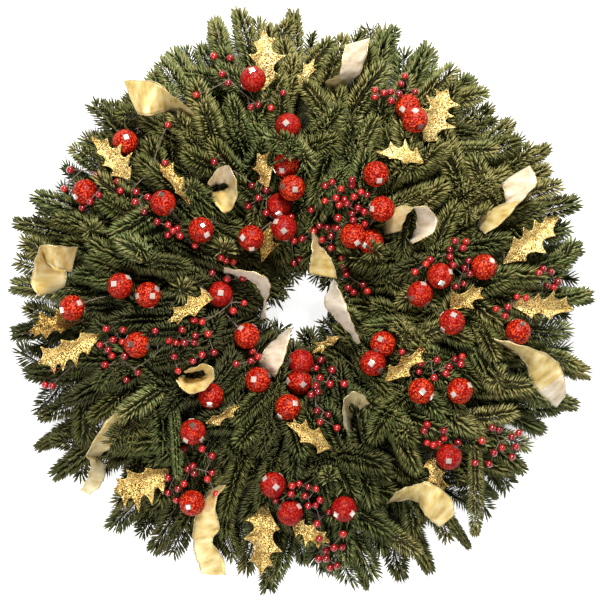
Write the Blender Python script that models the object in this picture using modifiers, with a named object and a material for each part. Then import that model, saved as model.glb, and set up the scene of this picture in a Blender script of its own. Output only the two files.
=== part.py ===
"""A fir wreath with red balls, berries, gold holly leaves and ribbon, lying on its back.

Metres, +Z up out of the wreath's face, +Y to its top. Twelve bunches of fir lie in the clamps
of a welded wire ring. Wired picks of beaded balls and berries, gold holly leaves and lengths
of ribbon are pushed in among the shoots. Needles are raised from each shoot's own surface.
"""
import math
import random

import bmesh
import bpy
import numpy
from mathutils import Matrix, Vector
from mathutils.bvhtree import BVHTree

# Driving dimensions, in metres
PIXEL = 0.0011              # one pixel of the face-on photograph, at the height VIEW_PLANE
VIEW_PLANE = 0.070
VIEW_DISTANCE = 2.60        # from the camera to VIEW_PLANE
CENTRE_PX = (301.0, 300.0)  # the pixel straight below the camera
HOLE_PX = (298.0, 303.0)    # the middle of the ragged hole

CLAMPS = 12
CLAMP_RADIUS = 0.152        # from the wreath's middle to the bundles' axis
RING_RADII = (0.1365, 0.1675)
RING_WIRE = 0.0022
RING_HEIGHT = 0.0040
CLEAT = (0.040, 0.012, 0.0025)
CLAMP_WIRE = 0.0015
CLAMP_BEND = 0.0113         # from the bundle's axis to the clamp wire's axis

BUNDLE_RADIUS = 0.0080
BUNDLE_HALF_ANGLE = 11.0    # degrees of the ring that a bundle covers to each side
BUNDLE_SIDES = 6
SEAT_GAP = 0.0005           # under the lowest flat of a bundle
BUNDLE_HEIGHT = CLEAT[2] + SEAT_GAP + BUNDLE_RADIUS * math.cos(math.pi / BUNDLE_SIDES)

SHOOT_ROOT = 0.0028         # radius of a shoot where it leaves the bundle
SHOOT_TIP = 0.0011
NEEDLE = 0.024
NEEDLE_ROD = 0.0013         # radius within which a needle's body lies
NEEDLE_FOOT = 0.002         # length over which a needle widens into its collar
WHORL = 0.0030              # length of the collar that a whorl of needles stands on
WHORL_STEP = 0.041
OUTER_BARE = 0.060          # bare foot of a shoot that makes the outline
INNER_BARE = 0.036          # bare foot of the others
TIP_NEEDLE = 0.012
SWEEP = 52.0                # degrees between a needle and its shoot

INNER_RIM = 0.030           # nothing reaches nearer to the middle of the hole than this
FOLIAGE_REACH = 0.325       # half of the wreath's width

BALL = 0.0140
BERRY = 0.0043
TWIG = 0.0008
STEM = 0.0013
STEM_TOP = 0.0006           # radius of a stem where it enters a leaf or ribbon
KNOT = 0.0034
LEAF_THICKNESS = 0.0009
RIBBON_WIDTH = 0.038
RIBBON_THICKNESS = 0.0009
CLEARANCE = 0.0009          # least space left between pieces that don't touch
SEAT = 0.00045              # space between a stem's foot and the shoot that carries it

# Where the tips of the outer shoots end, as pixels round the outline
OUTLINE_TIPS = [
    (596, 297), (584, 249), (582, 200), (552, 145), (514, 120), (474, 77), (431, 43),
    (388, 23), (328, 40), (293, 4), (238, 6), (213, 16), (170, 47), (120, 98), (88, 99),
    (59, 165), (31, 194), (11, 221), (9, 286), (4, 335), (23, 375), (34, 450), (50, 478),
    (109, 532), (151, 555), (200, 556), (267, 598), (304, 566), (367, 594), (432, 575),
    (472, 552), (500, 502), (527, 473), (546, 432), (580, 408), (592, 374),
]

# Ribbons: each station is one edge's pixel, the other edge's pixel and the height in mm.
# The first edge is the higher one, by as much as the constant width asks for.
RIBBONS = {
    "ribbon_upper_left": [(124, 81, 137, 113, 97), (143, 81, 147, 115, 106),
                          (158, 84, 160, 112, 106), (172, 96, 171, 110, 94),
                          (186, 106, 182, 114, 82), (200, 119, 194, 124, 68)],
    "ribbon_top": [(345, 45, 370, 38, 96), (342, 60, 366, 56, 99), (340, 73, 359, 74, 95),
                   (336, 77, 347, 84, 84), (326, 82, 340, 92, 73), (327, 86, 336, 98, 62)],
    "ribbon_inner_top_left": [(208, 184, 211, 187, 92), (216, 171, 218, 184, 101),
                              (227, 166, 226, 183, 108), (235, 178, 229, 185, 112),
                              (237, 193, 228, 188, 112), (233, 207, 222, 191, 108),
                              (225, 213, 213, 192, 101), (216, 205, 210, 196, 93)],
    "ribbon_inner_top_right": [(400, 231, 384, 235, 95), (403, 223, 388, 216, 104),
                               (408, 213, 399, 206, 111), (416, 207, 412, 207, 115),
                               (428, 208, 417, 213, 116), (437, 221, 417, 224, 112),
                               (431, 234, 414, 233, 103), (412, 243, 409, 241, 93)],
    "ribbon_right_upper": [(529, 166, 502, 182, 92), (536, 181, 505, 192, 98),
                           (528, 193, 506, 202, 97), (515, 207, 492, 209, 91),
                           (503, 221, 483, 215, 84), (485, 234, 477, 228, 74)],
    "ribbon_left_upper": [(79, 248, 73, 272, 86), (66, 247, 62, 269, 95),
                          (53, 246, 50, 263, 99), (43, 246, 45, 257, 95),
                          (38, 257, 52, 263, 88), (36, 270, 66, 272, 80),
                          (33, 281, 66, 283, 71), (41, 296, 56, 293, 61)],
    "ribbon_hole_left": [(224, 268, 224, 273, 88), (238, 270, 236, 276, 95),
                         (252, 272, 251, 281, 99), (265, 277, 257, 286, 99),
                         (270, 284, 261, 293, 94), (269, 293, 264, 301, 86),
                         (266, 303, 263, 311, 77), (266, 318, 258, 322, 68)],
    "ribbon_hole_top": [(313, 231, 318, 233, 86), (312, 243, 321, 246, 95),
                        (312, 254, 328, 255, 100), (310, 264, 333, 264, 99),
                        (309, 274, 337, 279, 92)],
    "ribbon_hole_right": [(335, 281, 333, 280, 82), (338, 289, 328, 291, 88),
                          (344, 301, 324, 304, 92), (347, 311, 332, 314, 92),
                          (351, 321, 341, 325, 88), (355, 331, 350, 334, 80),
                          (360, 342, 357, 344, 70)],
    "ribbon_hole_bottom": [(292, 328, 282, 333, 84), (290, 334, 275, 340, 90),
                           (287, 347, 267, 347, 97), (284, 359, 261, 358, 98),
                           (279, 369, 259, 366, 91), (276, 376, 262, 378, 80)],
    "ribbon_inner_left": [(184, 371, 186, 373, 88), (195, 367, 194, 372, 96),
                          (206, 364, 202, 370, 102), (214, 372, 206, 374, 105),
                          (211, 383, 202, 378, 104), (199, 392, 195, 379, 100),
                          (186, 392, 187, 378, 94), (176, 380, 183, 374, 87)],
    "ribbon_inner_bottom": [(369, 404, 360, 410, 92), (364, 396, 356, 406, 101),
                            (354, 392, 350, 404, 106), (345, 398, 349, 410, 104),
                            (343, 410, 352, 414, 97), (344, 424, 351, 424, 88),
                            (349, 437, 352, 437, 77)],
    "ribbon_lower_left": [(117, 412, 143, 423, 84), (107, 421, 130, 434, 80),
                          (96, 438, 114, 446, 71), (87, 455, 100, 455, 61),
                          (91, 462, 104, 463, 52), (90, 472, 105, 473, 45),
                          (86, 482, 100, 486, 39), (80, 491, 89, 495, 34)],
    "ribbon_bottom_left": [(226, 485, 216, 487, 86), (217, 498, 201, 499, 88),
                           (216, 512, 196, 514, 84), (220, 527, 193, 530, 76),
                           (213, 538, 193, 543, 67), (214, 545, 195, 556, 58),
                           (223, 557, 199, 566, 50), (226, 575, 201, 574, 43)],
    "ribbon_bottom_right": [(396, 492, 385, 504, 74), (407, 487, 404, 500, 79),
                            (418, 484, 417, 502, 85), (428, 482, 421, 508, 91),
                            (441, 489, 426, 516, 91), (452, 500, 433, 522, 84),
                            (454, 515, 440, 527, 73)],
    "ribbon_right_lower": [(494, 339, 498, 343, 88), (512, 343, 513, 352, 92),
                           (532, 349, 524, 361, 91), (548, 356, 530, 376, 85),
                           (559, 367, 534, 386, 76), (564, 383, 545, 398, 65),
                           (564, 397, 556, 407, 54)],
}

# Holly leaves: stalk end's pixel, tip's pixel, width in pixels, pairs of side spines, roll
LEAVES = {
    "holly_leaf_top": [(262, 92, 264, 33, 37, 4, 5), (300, 88, 313, 62, 17, 2, -10)],
    "holly_leaf_upper_left": [(130, 180, 93, 139, 33, 4, 0)],
    "holly_leaf_upper_right": [(424, 142, 446, 92, 37, 4, 5), (424, 163, 379, 153, 22, 3, 20)],
    "holly_leaf_left_upper": [(190, 205, 158, 166, 21, 3, 35)],
    "holly_leaf_inner_top": [(268, 188, 258, 156, 25, 3, 20), (262, 262, 270, 224, 25, 3, 10)],
    "holly_leaf_left_inner": [(213, 298, 170, 321, 28, 3, 15)],
    "holly_leaf_left": [(102, 334, 41, 362, 31, 4, 0), (83, 320, 32, 332, 22, 2, 25)],
    "holly_leaf_right_inner": [(450, 309, 480, 289, 25, 3, 10)],
    "holly_leaf_right_upper": [(503, 264, 556, 219, 38, 4, 0)],
    "holly_leaf_right": [(510, 305, 571, 309, 25, 4, 15)],
    "holly_leaf_lower_right": [(385, 382, 422, 350, 25, 3, 10), (339, 337, 314, 352, 14, 2, 15)],
    "holly_leaf_lower": [(331, 448, 289, 424, 27, 3, 0), (205, 424, 237, 406, 12, 2, 50)],
    "holly_leaf_lower_left": [(170, 469, 116, 489, 38, 4, 0)],
    "holly_leaf_bottom": [(266, 503, 261, 572, 40, 4, 0), (292, 522, 328, 541, 27, 3, 15)],
    "holly_leaf_lower_right_outer": [(430, 458, 443, 490, 23, 3, 10)],
}

# Picks: pixels of the balls, with how far each sits below the foliage's crown in mm,
# and pixels of the berries
PICKS = {
    "pick_top": [[(253, 79, 0)], [(214, 56), (196, 95), (283, 93)]],
    "pick_top_centre": [[(288, 126, 0), (292, 188, -4), (284, 228, 2), (286, 165, 16),
                         (279, 206, 14), (251, 238, 0)], [(258, 198), (311, 210)]],
    "pick_top_right": [[(415, 120, -3), (408, 107, 14)], [(405, 76), (375, 90), (391, 92)]],
    "pick_inner_top_right": [[(376, 174, 0), (382, 209, 0), (353, 236, 0), (371, 242, 14)],
                             [(325, 186), (322, 240), (346, 275)]],
    "pick_upper_left": [[(125, 142, 0), (85, 192, 8)], [(168, 125), (70, 170), (144, 212)]],
    "pick_left_upper": [[(163, 203, 0), (201, 230, 0)], [(157, 222), (180, 236)]],
    "pick_left": [[(120, 286, 0), (148, 295, 2), (72, 308, 2)], [(106, 329)]],
    "pick_left_lower": [[(137, 345, 0)], [(182, 330), (105, 365), (176, 343)]],
    "pick_left_inner": [[(220, 294, 0), (247, 336, 2)], [(194, 320), (227, 279)]],
    "pick_lower_middle": [[(258, 380, 2), (301, 362, 0), (299, 382, 14), (288, 407, 0)],
                          [(251, 361), (332, 370), (317, 411)]],
    "pick_lower_left": [[(211, 396, 0), (193, 432, 0), (192, 503, 2)],
                        [(212, 456), (168, 478)]],
    "pick_bottom": [[(273, 485, 2), (290, 513, 0), (344, 509, 0)],
                    [(308, 487), (326, 551)]],
    "pick_lower_right_outer": [[(449, 457, 0)],
                               [(427, 425), (492, 428), (512, 437)]],
    "pick_lower_right": [[(421, 391, 0), (460, 391, 0), (383, 344, 2), (373, 363, 0)],
                         [(402, 352), (434, 378)]],
    "pick_right": [[(440, 276, 0), (420, 294, 2), (484, 267, 0), (452, 322, 0)],
                   [(455, 241), (450, 257)]],
    "pick_right_outer": [[(518, 332, 0)], [(543, 269), (496, 309)]],
}

FINISHES = {
    "ring_wire": ((0.060, 0.090, 0.060, 1), 0.45, 0.6),
    "fir": ((0.050, 0.110, 0.035, 1), 0.60, 0.0),
    "red_beads": ((0.700, 0.020, 0.010, 1), 0.35, 0.0),
    "gold_glitter": ((0.620, 0.400, 0.120, 1), 0.40, 0.7),
    "champagne_satin": ((0.680, 0.520, 0.240, 1), 0.35, 0.2),
}


def spot(px, py, height):
    """The place that a pixel of the photograph shows, at a height above the floor."""
    nearer = 1 - (height - VIEW_PLANE) / VIEW_DISTANCE
    x = (px - CENTRE_PX[0]) * PIXEL * nearer
    y = (CENTRE_PX[1] - py) * PIXEL * nearer
    return Vector((x, y, height))


def around(radius, degrees, height):
    """A place from its distance and direction from the wreath's middle."""
    turn = math.radians(degrees)
    return Vector((radius * math.cos(turn), radius * math.sin(turn), height))


def crown(place):
    """Height of the foliage's domed top at a place."""
    across = (Vector((place.x, place.y)).length - 0.035) / (0.335 - 0.035)
    across = min(max(across, 0.0), 1.0)
    return 0.030 + 0.078 * max(math.sin(math.pi * across ** 0.75), 0.0) ** 0.7


class Rods:
    """All that is placed so far, as round-ended rods, so that the next piece is bent clear."""

    def __init__(self, room=30000):
        self.count = 0
        self.starts = numpy.zeros((room, 3))
        self.ends = numpy.zeros((room, 3))
        self.radii = numpy.zeros(room)
        self.nodes = numpy.zeros(room, dtype=int)
        self.owners = numpy.zeros(room, dtype=int)

    def add(self, node, owner, start, end, radius):
        self.starts[self.count] = start
        self.ends[self.count] = end
        self.radii[self.count] = radius
        self.nodes[self.count] = node
        self.owners[self.count] = owner
        self.count += 1

    def gap(self, start, end, radius, node=-1, owner=-1):
        """Space between a rod and the nearest one that has another node and another owner."""
        keep = (self.nodes[:self.count] != node) & (self.owners[:self.count] != owner)
        if not keep.any():
            return 1.0
        first = numpy.array(start)
        way = numpy.array(end) + 1e-6 - first
        other = self.starts[:self.count][keep]
        ways = self.ends[:self.count][keep] + 1e-6 - other
        between = first - other
        own = way @ way
        theirs = (ways * ways).sum(1)
        both = ways @ way
        lead = (ways * between).sum(1)
        trail = between @ way
        spread = own * theirs - both * both
        along = numpy.where(spread > 1e-18,
                            (both * lead - trail * theirs) / numpy.maximum(spread, 1e-18), 0)
        along = numpy.clip(along, 0, 1)
        across = numpy.clip((both * along + lead) / theirs, 0, 1)
        along = numpy.clip((both * across - trail) / own, 0, 1)
        apart = between + along[:, None] * way - across[:, None] * ways
        distance = numpy.sqrt((apart * apart).sum(1))
        return float((distance - self.radii[:self.count][keep]).min() - radius)


rods = Rods()
node_numbers = {}


def number(name):
    """A whole number for a node's name."""
    return node_numbers.setdefault(name, len(node_numbers))


def is_clear(name, pieces, lift=0.0, owner=-1):
    """Whether a list of (start, end, radius), raised by lift, stays clear of other nodes."""
    rise = Vector((0, 0, lift))
    for start, end, radius in pieces:
        if rods.gap(start + rise, end + rise, radius, number(name), owner) < CLEARANCE:
            return False
    return True


def keep(name, pieces, lift=0.0, owner=-2):
    for start, end, radius in pieces:
        rise = Vector((0, 0, lift))
        rods.add(number(name), owner, start + rise, end + rise, radius)


def settle(name, pieces):
    """The smallest rise or drop that brings a piece clear of the nodes already placed."""
    for step in range(0, 14):
        for sign in (1, -1):
            lift = sign * step * 0.0025
            if is_clear(name, pieces, lift):
                return lift
    raise ValueError(f"no clear height for {name}")


# Blender objects and meshes

def clear_scene():
    for item in list(bpy.data.objects):
        bpy.data.objects.remove(item, do_unlink=True)


def new_collection(name):
    collection = bpy.data.collections.new(name)
    bpy.context.scene.collection.children.link(collection)
    return collection


def make_materials():
    made = {}
    for name, (colour, roughness, metallic) in FINISHES.items():
        material = bpy.data.materials.new(name)
        material.use_nodes = True
        shader = material.node_tree.nodes["Principled BSDF"]
        shader.inputs["Base Color"].default_value = colour
        shader.inputs["Roughness"].default_value = roughness
        shader.inputs["Metallic"].default_value = metallic
        made[name] = material
    return made


def section(sides):
    """A unit polygon that a stick's curve takes as its cross-section."""
    curve = bpy.data.curves.new(f"section_{sides}", "CURVE")
    curve.dimensions = "2D"
    spline = curve.splines.new("POLY")
    spline.points.add(sides - 1)
    for index, point in enumerate(spline.points):
        turn = math.tau * index / sides
        point.co = (math.cos(turn), math.sin(turn), 0, 1)
    spline.use_cyclic_u = True
    guide = bpy.data.objects.new(curve.name, curve)
    guide.hide_render = True
    guide.display_type = "WIRE"
    guides.objects.link(guide)
    return guide


def stick(points, radii, sides=3):
    """A closed stick along points, with a radius at each, as a bmesh."""
    curve = bpy.data.curves.new("stick", "CURVE")
    curve.dimensions = "3D"
    curve.bevel_mode = "OBJECT"
    curve.bevel_object = sections[sides]
    curve.use_fill_caps = True
    spline = curve.splines.new("POLY")
    spline.points.add(len(points) - 1)
    for point, place, radius in zip(spline.points, points, radii):
        point.co = (*place, 1)
        point.radius = radius
    holder = bpy.data.objects.new("stick", curve)
    workshop.objects.link(holder)
    graph = bpy.context.evaluated_depsgraph_get()
    mesh = bpy.data.meshes.new_from_object(holder.evaluated_get(graph))
    shape = bmesh.new()
    shape.from_mesh(mesh)
    bmesh.ops.remove_doubles(shape, verts=shape.verts, dist=0.000001)
    bmesh.ops.recalc_face_normals(shape, faces=shape.faces)
    if shape.calc_volume(signed=True) < 0:
        bmesh.ops.reverse_faces(shape, faces=shape.faces)
    bpy.data.objects.remove(holder, do_unlink=True)
    bpy.data.curves.remove(curve)
    bpy.data.meshes.remove(mesh)
    return shape


def to_object(shape, name="piece"):
    mesh = bpy.data.meshes.new(name)
    shape.to_mesh(mesh)
    shape.free()
    item = bpy.data.objects.new(name, mesh)
    workshop.objects.link(item)
    return item


def ball(place, radius, segments, rings):
    shape = bmesh.new()
    bmesh.ops.create_uvsphere(shape, u_segments=segments, v_segments=rings, radius=radius,
                              matrix=Matrix.Translation(place))
    return to_object(shape)


def bead(place, radius, towards=None):
    """A small round, turned so that one of its faces looks towards its twig."""
    shape = bmesh.new()
    bmesh.ops.create_icosphere(shape, subdivisions=1, radius=radius)
    if towards is not None:
        shape.faces.ensure_lookup_table()
        turn = shape.faces[0].normal.rotation_difference(towards - place)
        bmesh.ops.rotate(shape, verts=shape.verts, matrix=turn.to_matrix())
    bmesh.ops.translate(shape, verts=shape.verts, vec=place)
    return to_object(shape)


def finished_mesh(item):
    """The mesh of an object with its modifiers applied."""
    graph = bpy.context.evaluated_depsgraph_get()
    return bpy.data.meshes.new_from_object(item.evaluated_get(graph))


def fuse(name, pieces, finish, solver="MANIFOLD"):
    """Joins a node's pieces in one solid with one Boolean union."""
    first, rest = pieces[0], pieces[1:]
    if rest:
        others = new_collection("others")
        for item in rest:
            workshop.objects.unlink(item)
            others.objects.link(item)
        union = first.modifiers.new("union", "BOOLEAN")
        union.operation = "UNION"
        union.operand_type = "COLLECTION"
        union.collection = others
        union.solver = solver
    mesh = finished_mesh(first)
    mesh.name = name
    mesh.materials.clear()
    mesh.materials.append(materials[finish])
    for item in pieces:
        bpy.data.objects.remove(item, do_unlink=True)
    if rest:
        bpy.data.collections.remove(others)
    item = bpy.data.objects.new(name, mesh)
    wreath.objects.link(item)
    return item


# The clamp ring

def clamp_ring():
    name = "clamp_ring"
    pieces = []
    for radius in RING_RADII:
        steps = 20
        bpy.ops.mesh.primitive_torus_add(major_radius=radius, minor_radius=RING_WIRE,
                                         major_segments=steps, minor_segments=4,
                                         location=(0, 0, RING_HEIGHT))
        hoop = bpy.context.object
        hoop.data.transform(hoop.matrix_world)
        hoop.matrix_world = Matrix.Identity(4)
        for collection in list(hoop.users_collection):
            collection.objects.unlink(hoop)
        workshop.objects.link(hoop)
        pieces.append(hoop)
        for step in range(steps):
            start = around(radius, 360 * step / steps, RING_HEIGHT)
            end = around(radius, 360 * (step + 1) / steps, RING_HEIGHT)
            rods.add(number(name), -2, start, end, RING_WIRE)
    for index in range(CLAMPS):
        degrees = 360 * index / CLAMPS
        shape = bmesh.new()
        turn = Matrix.Rotation(math.radians(degrees), 4, "Z")
        place = Matrix.Translation((CLAMP_RADIUS, 0, CLEAT[2] / 2))
        bmesh.ops.create_cube(shape, size=1, matrix=turn @ place @ Matrix.Diagonal((*CLEAT, 1)))
        pieces.append(to_object(shape))
        ends = [around(CLAMP_RADIUS + side * CLEAT[0] / 2, degrees, CLEAT[2] / 2)
                for side in (-1, 1)]
        rods.add(number(name), -2, ends[0], ends[1], CLEAT[1] / 2)
        bend = [around(CLAMP_RADIUS - CLAMP_BEND, degrees, 0.0012)]
        for step in range(4):
            lean = math.radians(180 - 60 * step)
            bend.append(around(CLAMP_RADIUS + CLAMP_BEND * math.cos(lean), degrees,
                               BUNDLE_HEIGHT + CLAMP_BEND * math.sin(lean)))
        bend.append(around(CLAMP_RADIUS + CLAMP_BEND, degrees, 0.0012))
        pieces.append(to_object(stick(bend, [CLAMP_WIRE] * len(bend), 4)))
        for start, end in zip(bend, bend[1:]):
            rods.add(number(name), -2, start, end, CLAMP_WIRE)
    fuse(name, pieces, "ring_wire")


# Fir bunches

class Shoot:
    """One shoot: a slim core along a bent line, with collars that whorls of needles stand on."""

    def __init__(self, bunch, owner, root, bend, tip, bare=INNER_BARE):
        self.bunch = bunch
        self.owner = owner
        self.bend = (root, bend, tip)
        steps = [self.on_bend(step / 60) for step in range(61)]
        self.trail = steps
        self.length = sum((b - a).length for a, b in zip(steps, steps[1:]))
        needled = max(self.length - bare, WHORL_STEP)
        count = max(round(needled / WHORL_STEP), 1)
        self.whorls = [self.length - 0.004 - needled * index / count for index in range(count)]
        self.whorls.sort()
        marks = [0.0]
        if bare == OUTER_BARE:
            marks.append(self.whorls[0] / 2)
        for mark in self.whorls:
            marks += [mark - WHORL / 2, mark + WHORL / 2]
        marks.append(self.length)
        self.points = [self.at(mark) for mark in marks]
        self.radii = [SHOOT_ROOT + (SHOOT_TIP - SHOOT_ROOT) * mark / self.length
                      for mark in marks]

    def on_bend(self, part):
        a, b, c = self.bend
        return a * (1 - part) ** 2 + b * 2 * part * (1 - part) + c * part ** 2

    def at(self, mark):
        gone = 0.0
        for a, b in zip(self.trail, self.trail[1:]):
            step = (b - a).length
            if gone + step >= mark:
                return a.lerp(b, (mark - gone) / step)
            gone += step
        return self.trail[-1].copy()

    def core_rods(self):
        return [(a, b, radius) for a, b, radius in
                zip(self.points, self.points[1:], self.radii)]

    def core(self):
        return stick(self.points, self.radii, 3)

    def grow(self, draw):
        """Raises the needles from the collars' faces and gives the finished shape."""
        shape = self.core()
        for mark in self.whorls:
            middle = self.at(mark)
            along = (self.at(mark + 0.001) - self.at(mark - 0.001)).normalized()
            collar = [face for face in shape.faces
                      if (face.calc_center_median() - middle).length < WHORL * 1.3]
            halves = bmesh.ops.triangulate(shape, faces=collar)["faces"]
            for face in halves:
                foot = face.calc_center_median()
                out = face.normal - along * face.normal.dot(along)
                side = along.cross(out).normalized()
                if (foot - middle).dot(side) < 0:
                    side.negate()
                out = (out.normalized() + side * 0.55).normalized()
                lean = math.radians(SWEEP + draw.uniform(-6, 6))
                way = out * math.sin(lean) + along * math.cos(lean)
                self.raise_needle(shape, face, foot, way, NEEDLE * draw.uniform(0.9, 1.05))
        caps = sorted(shape.faces, key=lambda face: (face.calc_center_median()
                                                     - self.points[-1]).length)
        along = (self.points[-1] - self.points[-2]).normalized()
        self.raise_needle(shape, caps[0], self.points[-1].copy(), along, TIP_NEEDLE)
        return shape

    def raise_needle(self, shape, face, foot, way, length):
        start = foot + way * NEEDLE_FOOT
        if rods.gap(foot, start, NEEDLE_ROD, number(self.bunch)) < CLEARANCE / 2:
            return
        for part in (1.0, 0.75, 0.5):
            tip = foot + way * length * part
            if tip.z < 0.0035 or not inside_wreath(tip):
                continue
            if rods.gap(start, tip, NEEDLE_ROD, owner=self.owner) < CLEARANCE:
                continue
            rods.add(number(self.bunch), self.owner, start, tip, NEEDLE_ROD)
            raised = bmesh.ops.poke(shape, faces=[face])
            raised["verts"][0].co = tip
            return


def inside_wreath(tip):
    hole = spot(*HOLE_PX, tip.z)
    if Vector((tip.x - hole.x, tip.y - hole.y)).length < INNER_RIM:
        return False
    return max(abs(tip.x), abs(tip.y)) < FOLIAGE_REACH


def bunch_name(index):
    return f"fir_bunch_{index + 1:02d}"


def lay_bundles():
    """The stems of each bunch, tied in a bundle that lies in its clamp."""
    made = []
    for index in range(CLAMPS):
        middle = 360 * index / CLAMPS
        turns = [-BUNDLE_HALF_ANGLE, -BUNDLE_HALF_ANGLE / 3, BUNDLE_HALF_ANGLE / 3,
                 BUNDLE_HALF_ANGLE]
        points = [around(CLAMP_RADIUS, middle + turn, BUNDLE_HEIGHT) for turn in turns]
        radii = [BUNDLE_RADIUS * part for part in (0.8, 1.0, 1.0, 0.9)]
        made.append(stick(points, radii, BUNDLE_SIDES))
        for a, b in zip(points, points[1:]):
            rods.add(number(bunch_name(index)), index, a, b, BUNDLE_RADIUS)
    return made


def root_on(index, lean):
    """A place on a bundle's axis that is clear of its clamp."""
    side = 1 if lean >= 0 else -1
    turn = side * (4.6 + min(abs(lean), 15) * 0.40)
    return around(CLAMP_RADIUS, 360 * index / CLAMPS + turn, BUNDLE_HEIGHT)


def outer_shoots():
    """The shoots that make the outline, one to each tip, in two layers."""
    shoots = []
    for order, (px, py) in enumerate(OUTLINE_TIPS):
        height = 0.024 if order % 2 else 0.046
        reach = spot(px, py, height)
        degrees = math.degrees(math.atan2(reach.y, reach.x))
        index = round(degrees / (360 / CLAMPS)) % CLAMPS
        lean = (degrees - 360 * index / CLAMPS + 180) % 360 - 180
        far = Vector((reach.x, reach.y)).length - TIP_NEEDLE - 0.002
        rise = 0.052 if order % 2 else 0.078
        bend = around(0.225, degrees - lean * 0.15, rise)
        tip = around(far, degrees, height)
        shoots.append(Shoot(bunch_name(index), 100 + order, root_on(index, lean), bend, tip,
                            OUTER_BARE))
    return shoots


def spread_shoot(index, owner, lean, bend, tip):
    """A shoot that finds its own way: it is turned and sunk until its core is clear."""
    middle = 360 * index / CLAMPS
    for sink in (0.0, 0.008, 0.016, 0.024):
        for turn in (0, 3, -3, 6, -6, 9, -9):
            root = root_on(index, lean)
            high = around(bend[0], middle + lean * bend[2] + turn * 0.6, bend[1] - sink)
            end = around(tip[0], middle + lean * tip[2] + turn, tip[1] - sink)
            shoot = Shoot(bunch_name(index), owner, root, high, end)
            if all(rods.gap(a, b, radius, number(bunch_name(index))) > CLEARANCE * 1.5
                   for a, b, radius in shoot.core_rods()):
                return shoot
    return None


def inner_shoots():
    """The shoots that reach in over the ring to the ragged hole, in two layers."""
    shoots = []
    for index in range(CLAMPS):
        for order, lean in enumerate((-7.5, 7.5)):
            if order:
                found = spread_shoot(index, 300 + index * 2 + order, lean,
                                     (0.100, 0.046, 1.0), (0.062, 0.030, 1.0))
            else:
                found = spread_shoot(index, 300 + index * 2 + order, lean,
                                     (0.105, 0.082, 1.0), (0.056, 0.058, 1.0))
            if found:
                shoots.append(found)
                for a, b, radius in found.core_rods():
                    rods.add(number(found.bunch), found.owner, a, b, radius)
    return shoots


def crown_shoots():
    """The shoots that stand up over the ring, round whatever is pushed in among them."""
    shoots = []
    forms = [(-9, (0.170, 0.085, 1.1), (0.228, 0.088, 1.2)),
             (9, (0.150, 0.088, 1.0), (0.150, 0.100, 1.0))]
    for index in range(CLAMPS):
        # every other bunch has one, the rest have two
        for order, (lean, bend, tip) in enumerate(forms[:2 - index % 2]):
            found = spread_shoot(index, 400 + index * 3 + order, lean, bend, tip)
            if found:
                shoots.append(found)
                for a, b, radius in found.core_rods():
                    rods.add(number(found.bunch), found.owner, a, b, radius)
    return shoots


# What carries a stem's foot

class Carriers:
    """The surface of the bundles and shoots that stems are pushed against."""

    def __init__(self, shapes):
        verts, faces = [], []
        for shape in shapes:
            start = len(verts)
            shape.verts.index_update()
            verts += [vert.co.copy() for vert in shape.verts]
            faces += [[start + vert.index for vert in face.verts] for face in shape.faces]
        self.tree = BVHTree.FromPolygons(verts, faces)

    def foot(self, place):
        """Where a straight stem from a place ends, just short of the nearest shoot."""
        touch = self.tree.find_nearest(place)[0]
        away = (place - touch).normalized()
        return touch + away * SEAT


def seated_stem(name, starts):
    """The shortest clear stem from one of several places down to a shoot."""
    choices = []
    for start in starts:
        foot = carriers.foot(start)
        choices.append(((foot - start).length, start, foot))
    choices.sort(key=lambda choice: choice[0])
    for length, start, foot in choices:
        way = (foot - start).normalized()
        body = [(start, foot - way * 0.002, STEM)]
        if length > 0.004 and is_clear(name, body):
            return start, foot
    return choices[0][1:]


# Ribbons

def ribbon_edges(stations):
    """The two edges of a ribbon of constant width that the pixels show slanting."""
    edges = []
    for ax, ay, bx, by, height in stations:
        level = height / 1000
        shown = (spot(ax, ay, level) - spot(bx, by, level)).length
        shown = min(shown, RIBBON_WIDTH)
        drop = math.sqrt(RIBBON_WIDTH ** 2 - shown ** 2) / 2
        a = spot(ax, ay, level + drop)
        b = spot(bx, by, level - drop)
        edges.append((a, b))
    return edges


def strip_rods(edges, radius):
    """Rods over the two triangles that the shorter diagonal makes of each quad."""
    pieces = []
    for (a, b), (c, d) in zip(edges, edges[1:]):
        if (a - d).length < (b - c).length:
            a, b, c, d = b, a, d, c
        for part in (0.0, 0.25, 0.5, 0.75):
            halfway = b.lerp(c, part)
            pieces += [(a.lerp(c, part), halfway, radius), (halfway, b.lerp(d, part), radius)]
    pieces.append((*edges[-1], radius))
    return pieces


def strip(edges, thickness):
    shape = bmesh.new()
    bmesh.ops.create_grid(shape, x_segments=len(edges) - 1, y_segments=1, size=0.5)
    for vert in shape.verts:
        station = round((vert.co.x + 0.5) * (len(edges) - 1))
        vert.co = edges[station][1 if vert.co.y > 0 else 0]
    bmesh.ops.triangulate(shape, faces=shape.faces, quad_method="SHORT_EDGE")
    item = to_object(shape)
    wall = item.modifiers.new("thickness", "SOLIDIFY")
    wall.thickness = thickness
    wall.offset = 0
    return item


def solid(item):
    """An object whose modifiers are applied."""
    mesh = finished_mesh(item)
    item.modifiers.clear()
    item.data = mesh
    return item


def stem_object(start, foot, top=STEM):
    return to_object(stick([start, foot], [top, STEM], 3))


def ribbons():
    made = []
    for name, stations in RIBBONS.items():
        edges = ribbon_edges(stations)
        pieces = strip_rods(edges, RIBBON_THICKNESS / 2 + 0.0012)
        lift = settle(name, pieces)
        rise = Vector((0, 0, lift))
        edges = [(a + rise, b + rise) for a, b in edges]
        keep(name, pieces, lift)
        made.append((name, edges))
    return made


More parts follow.
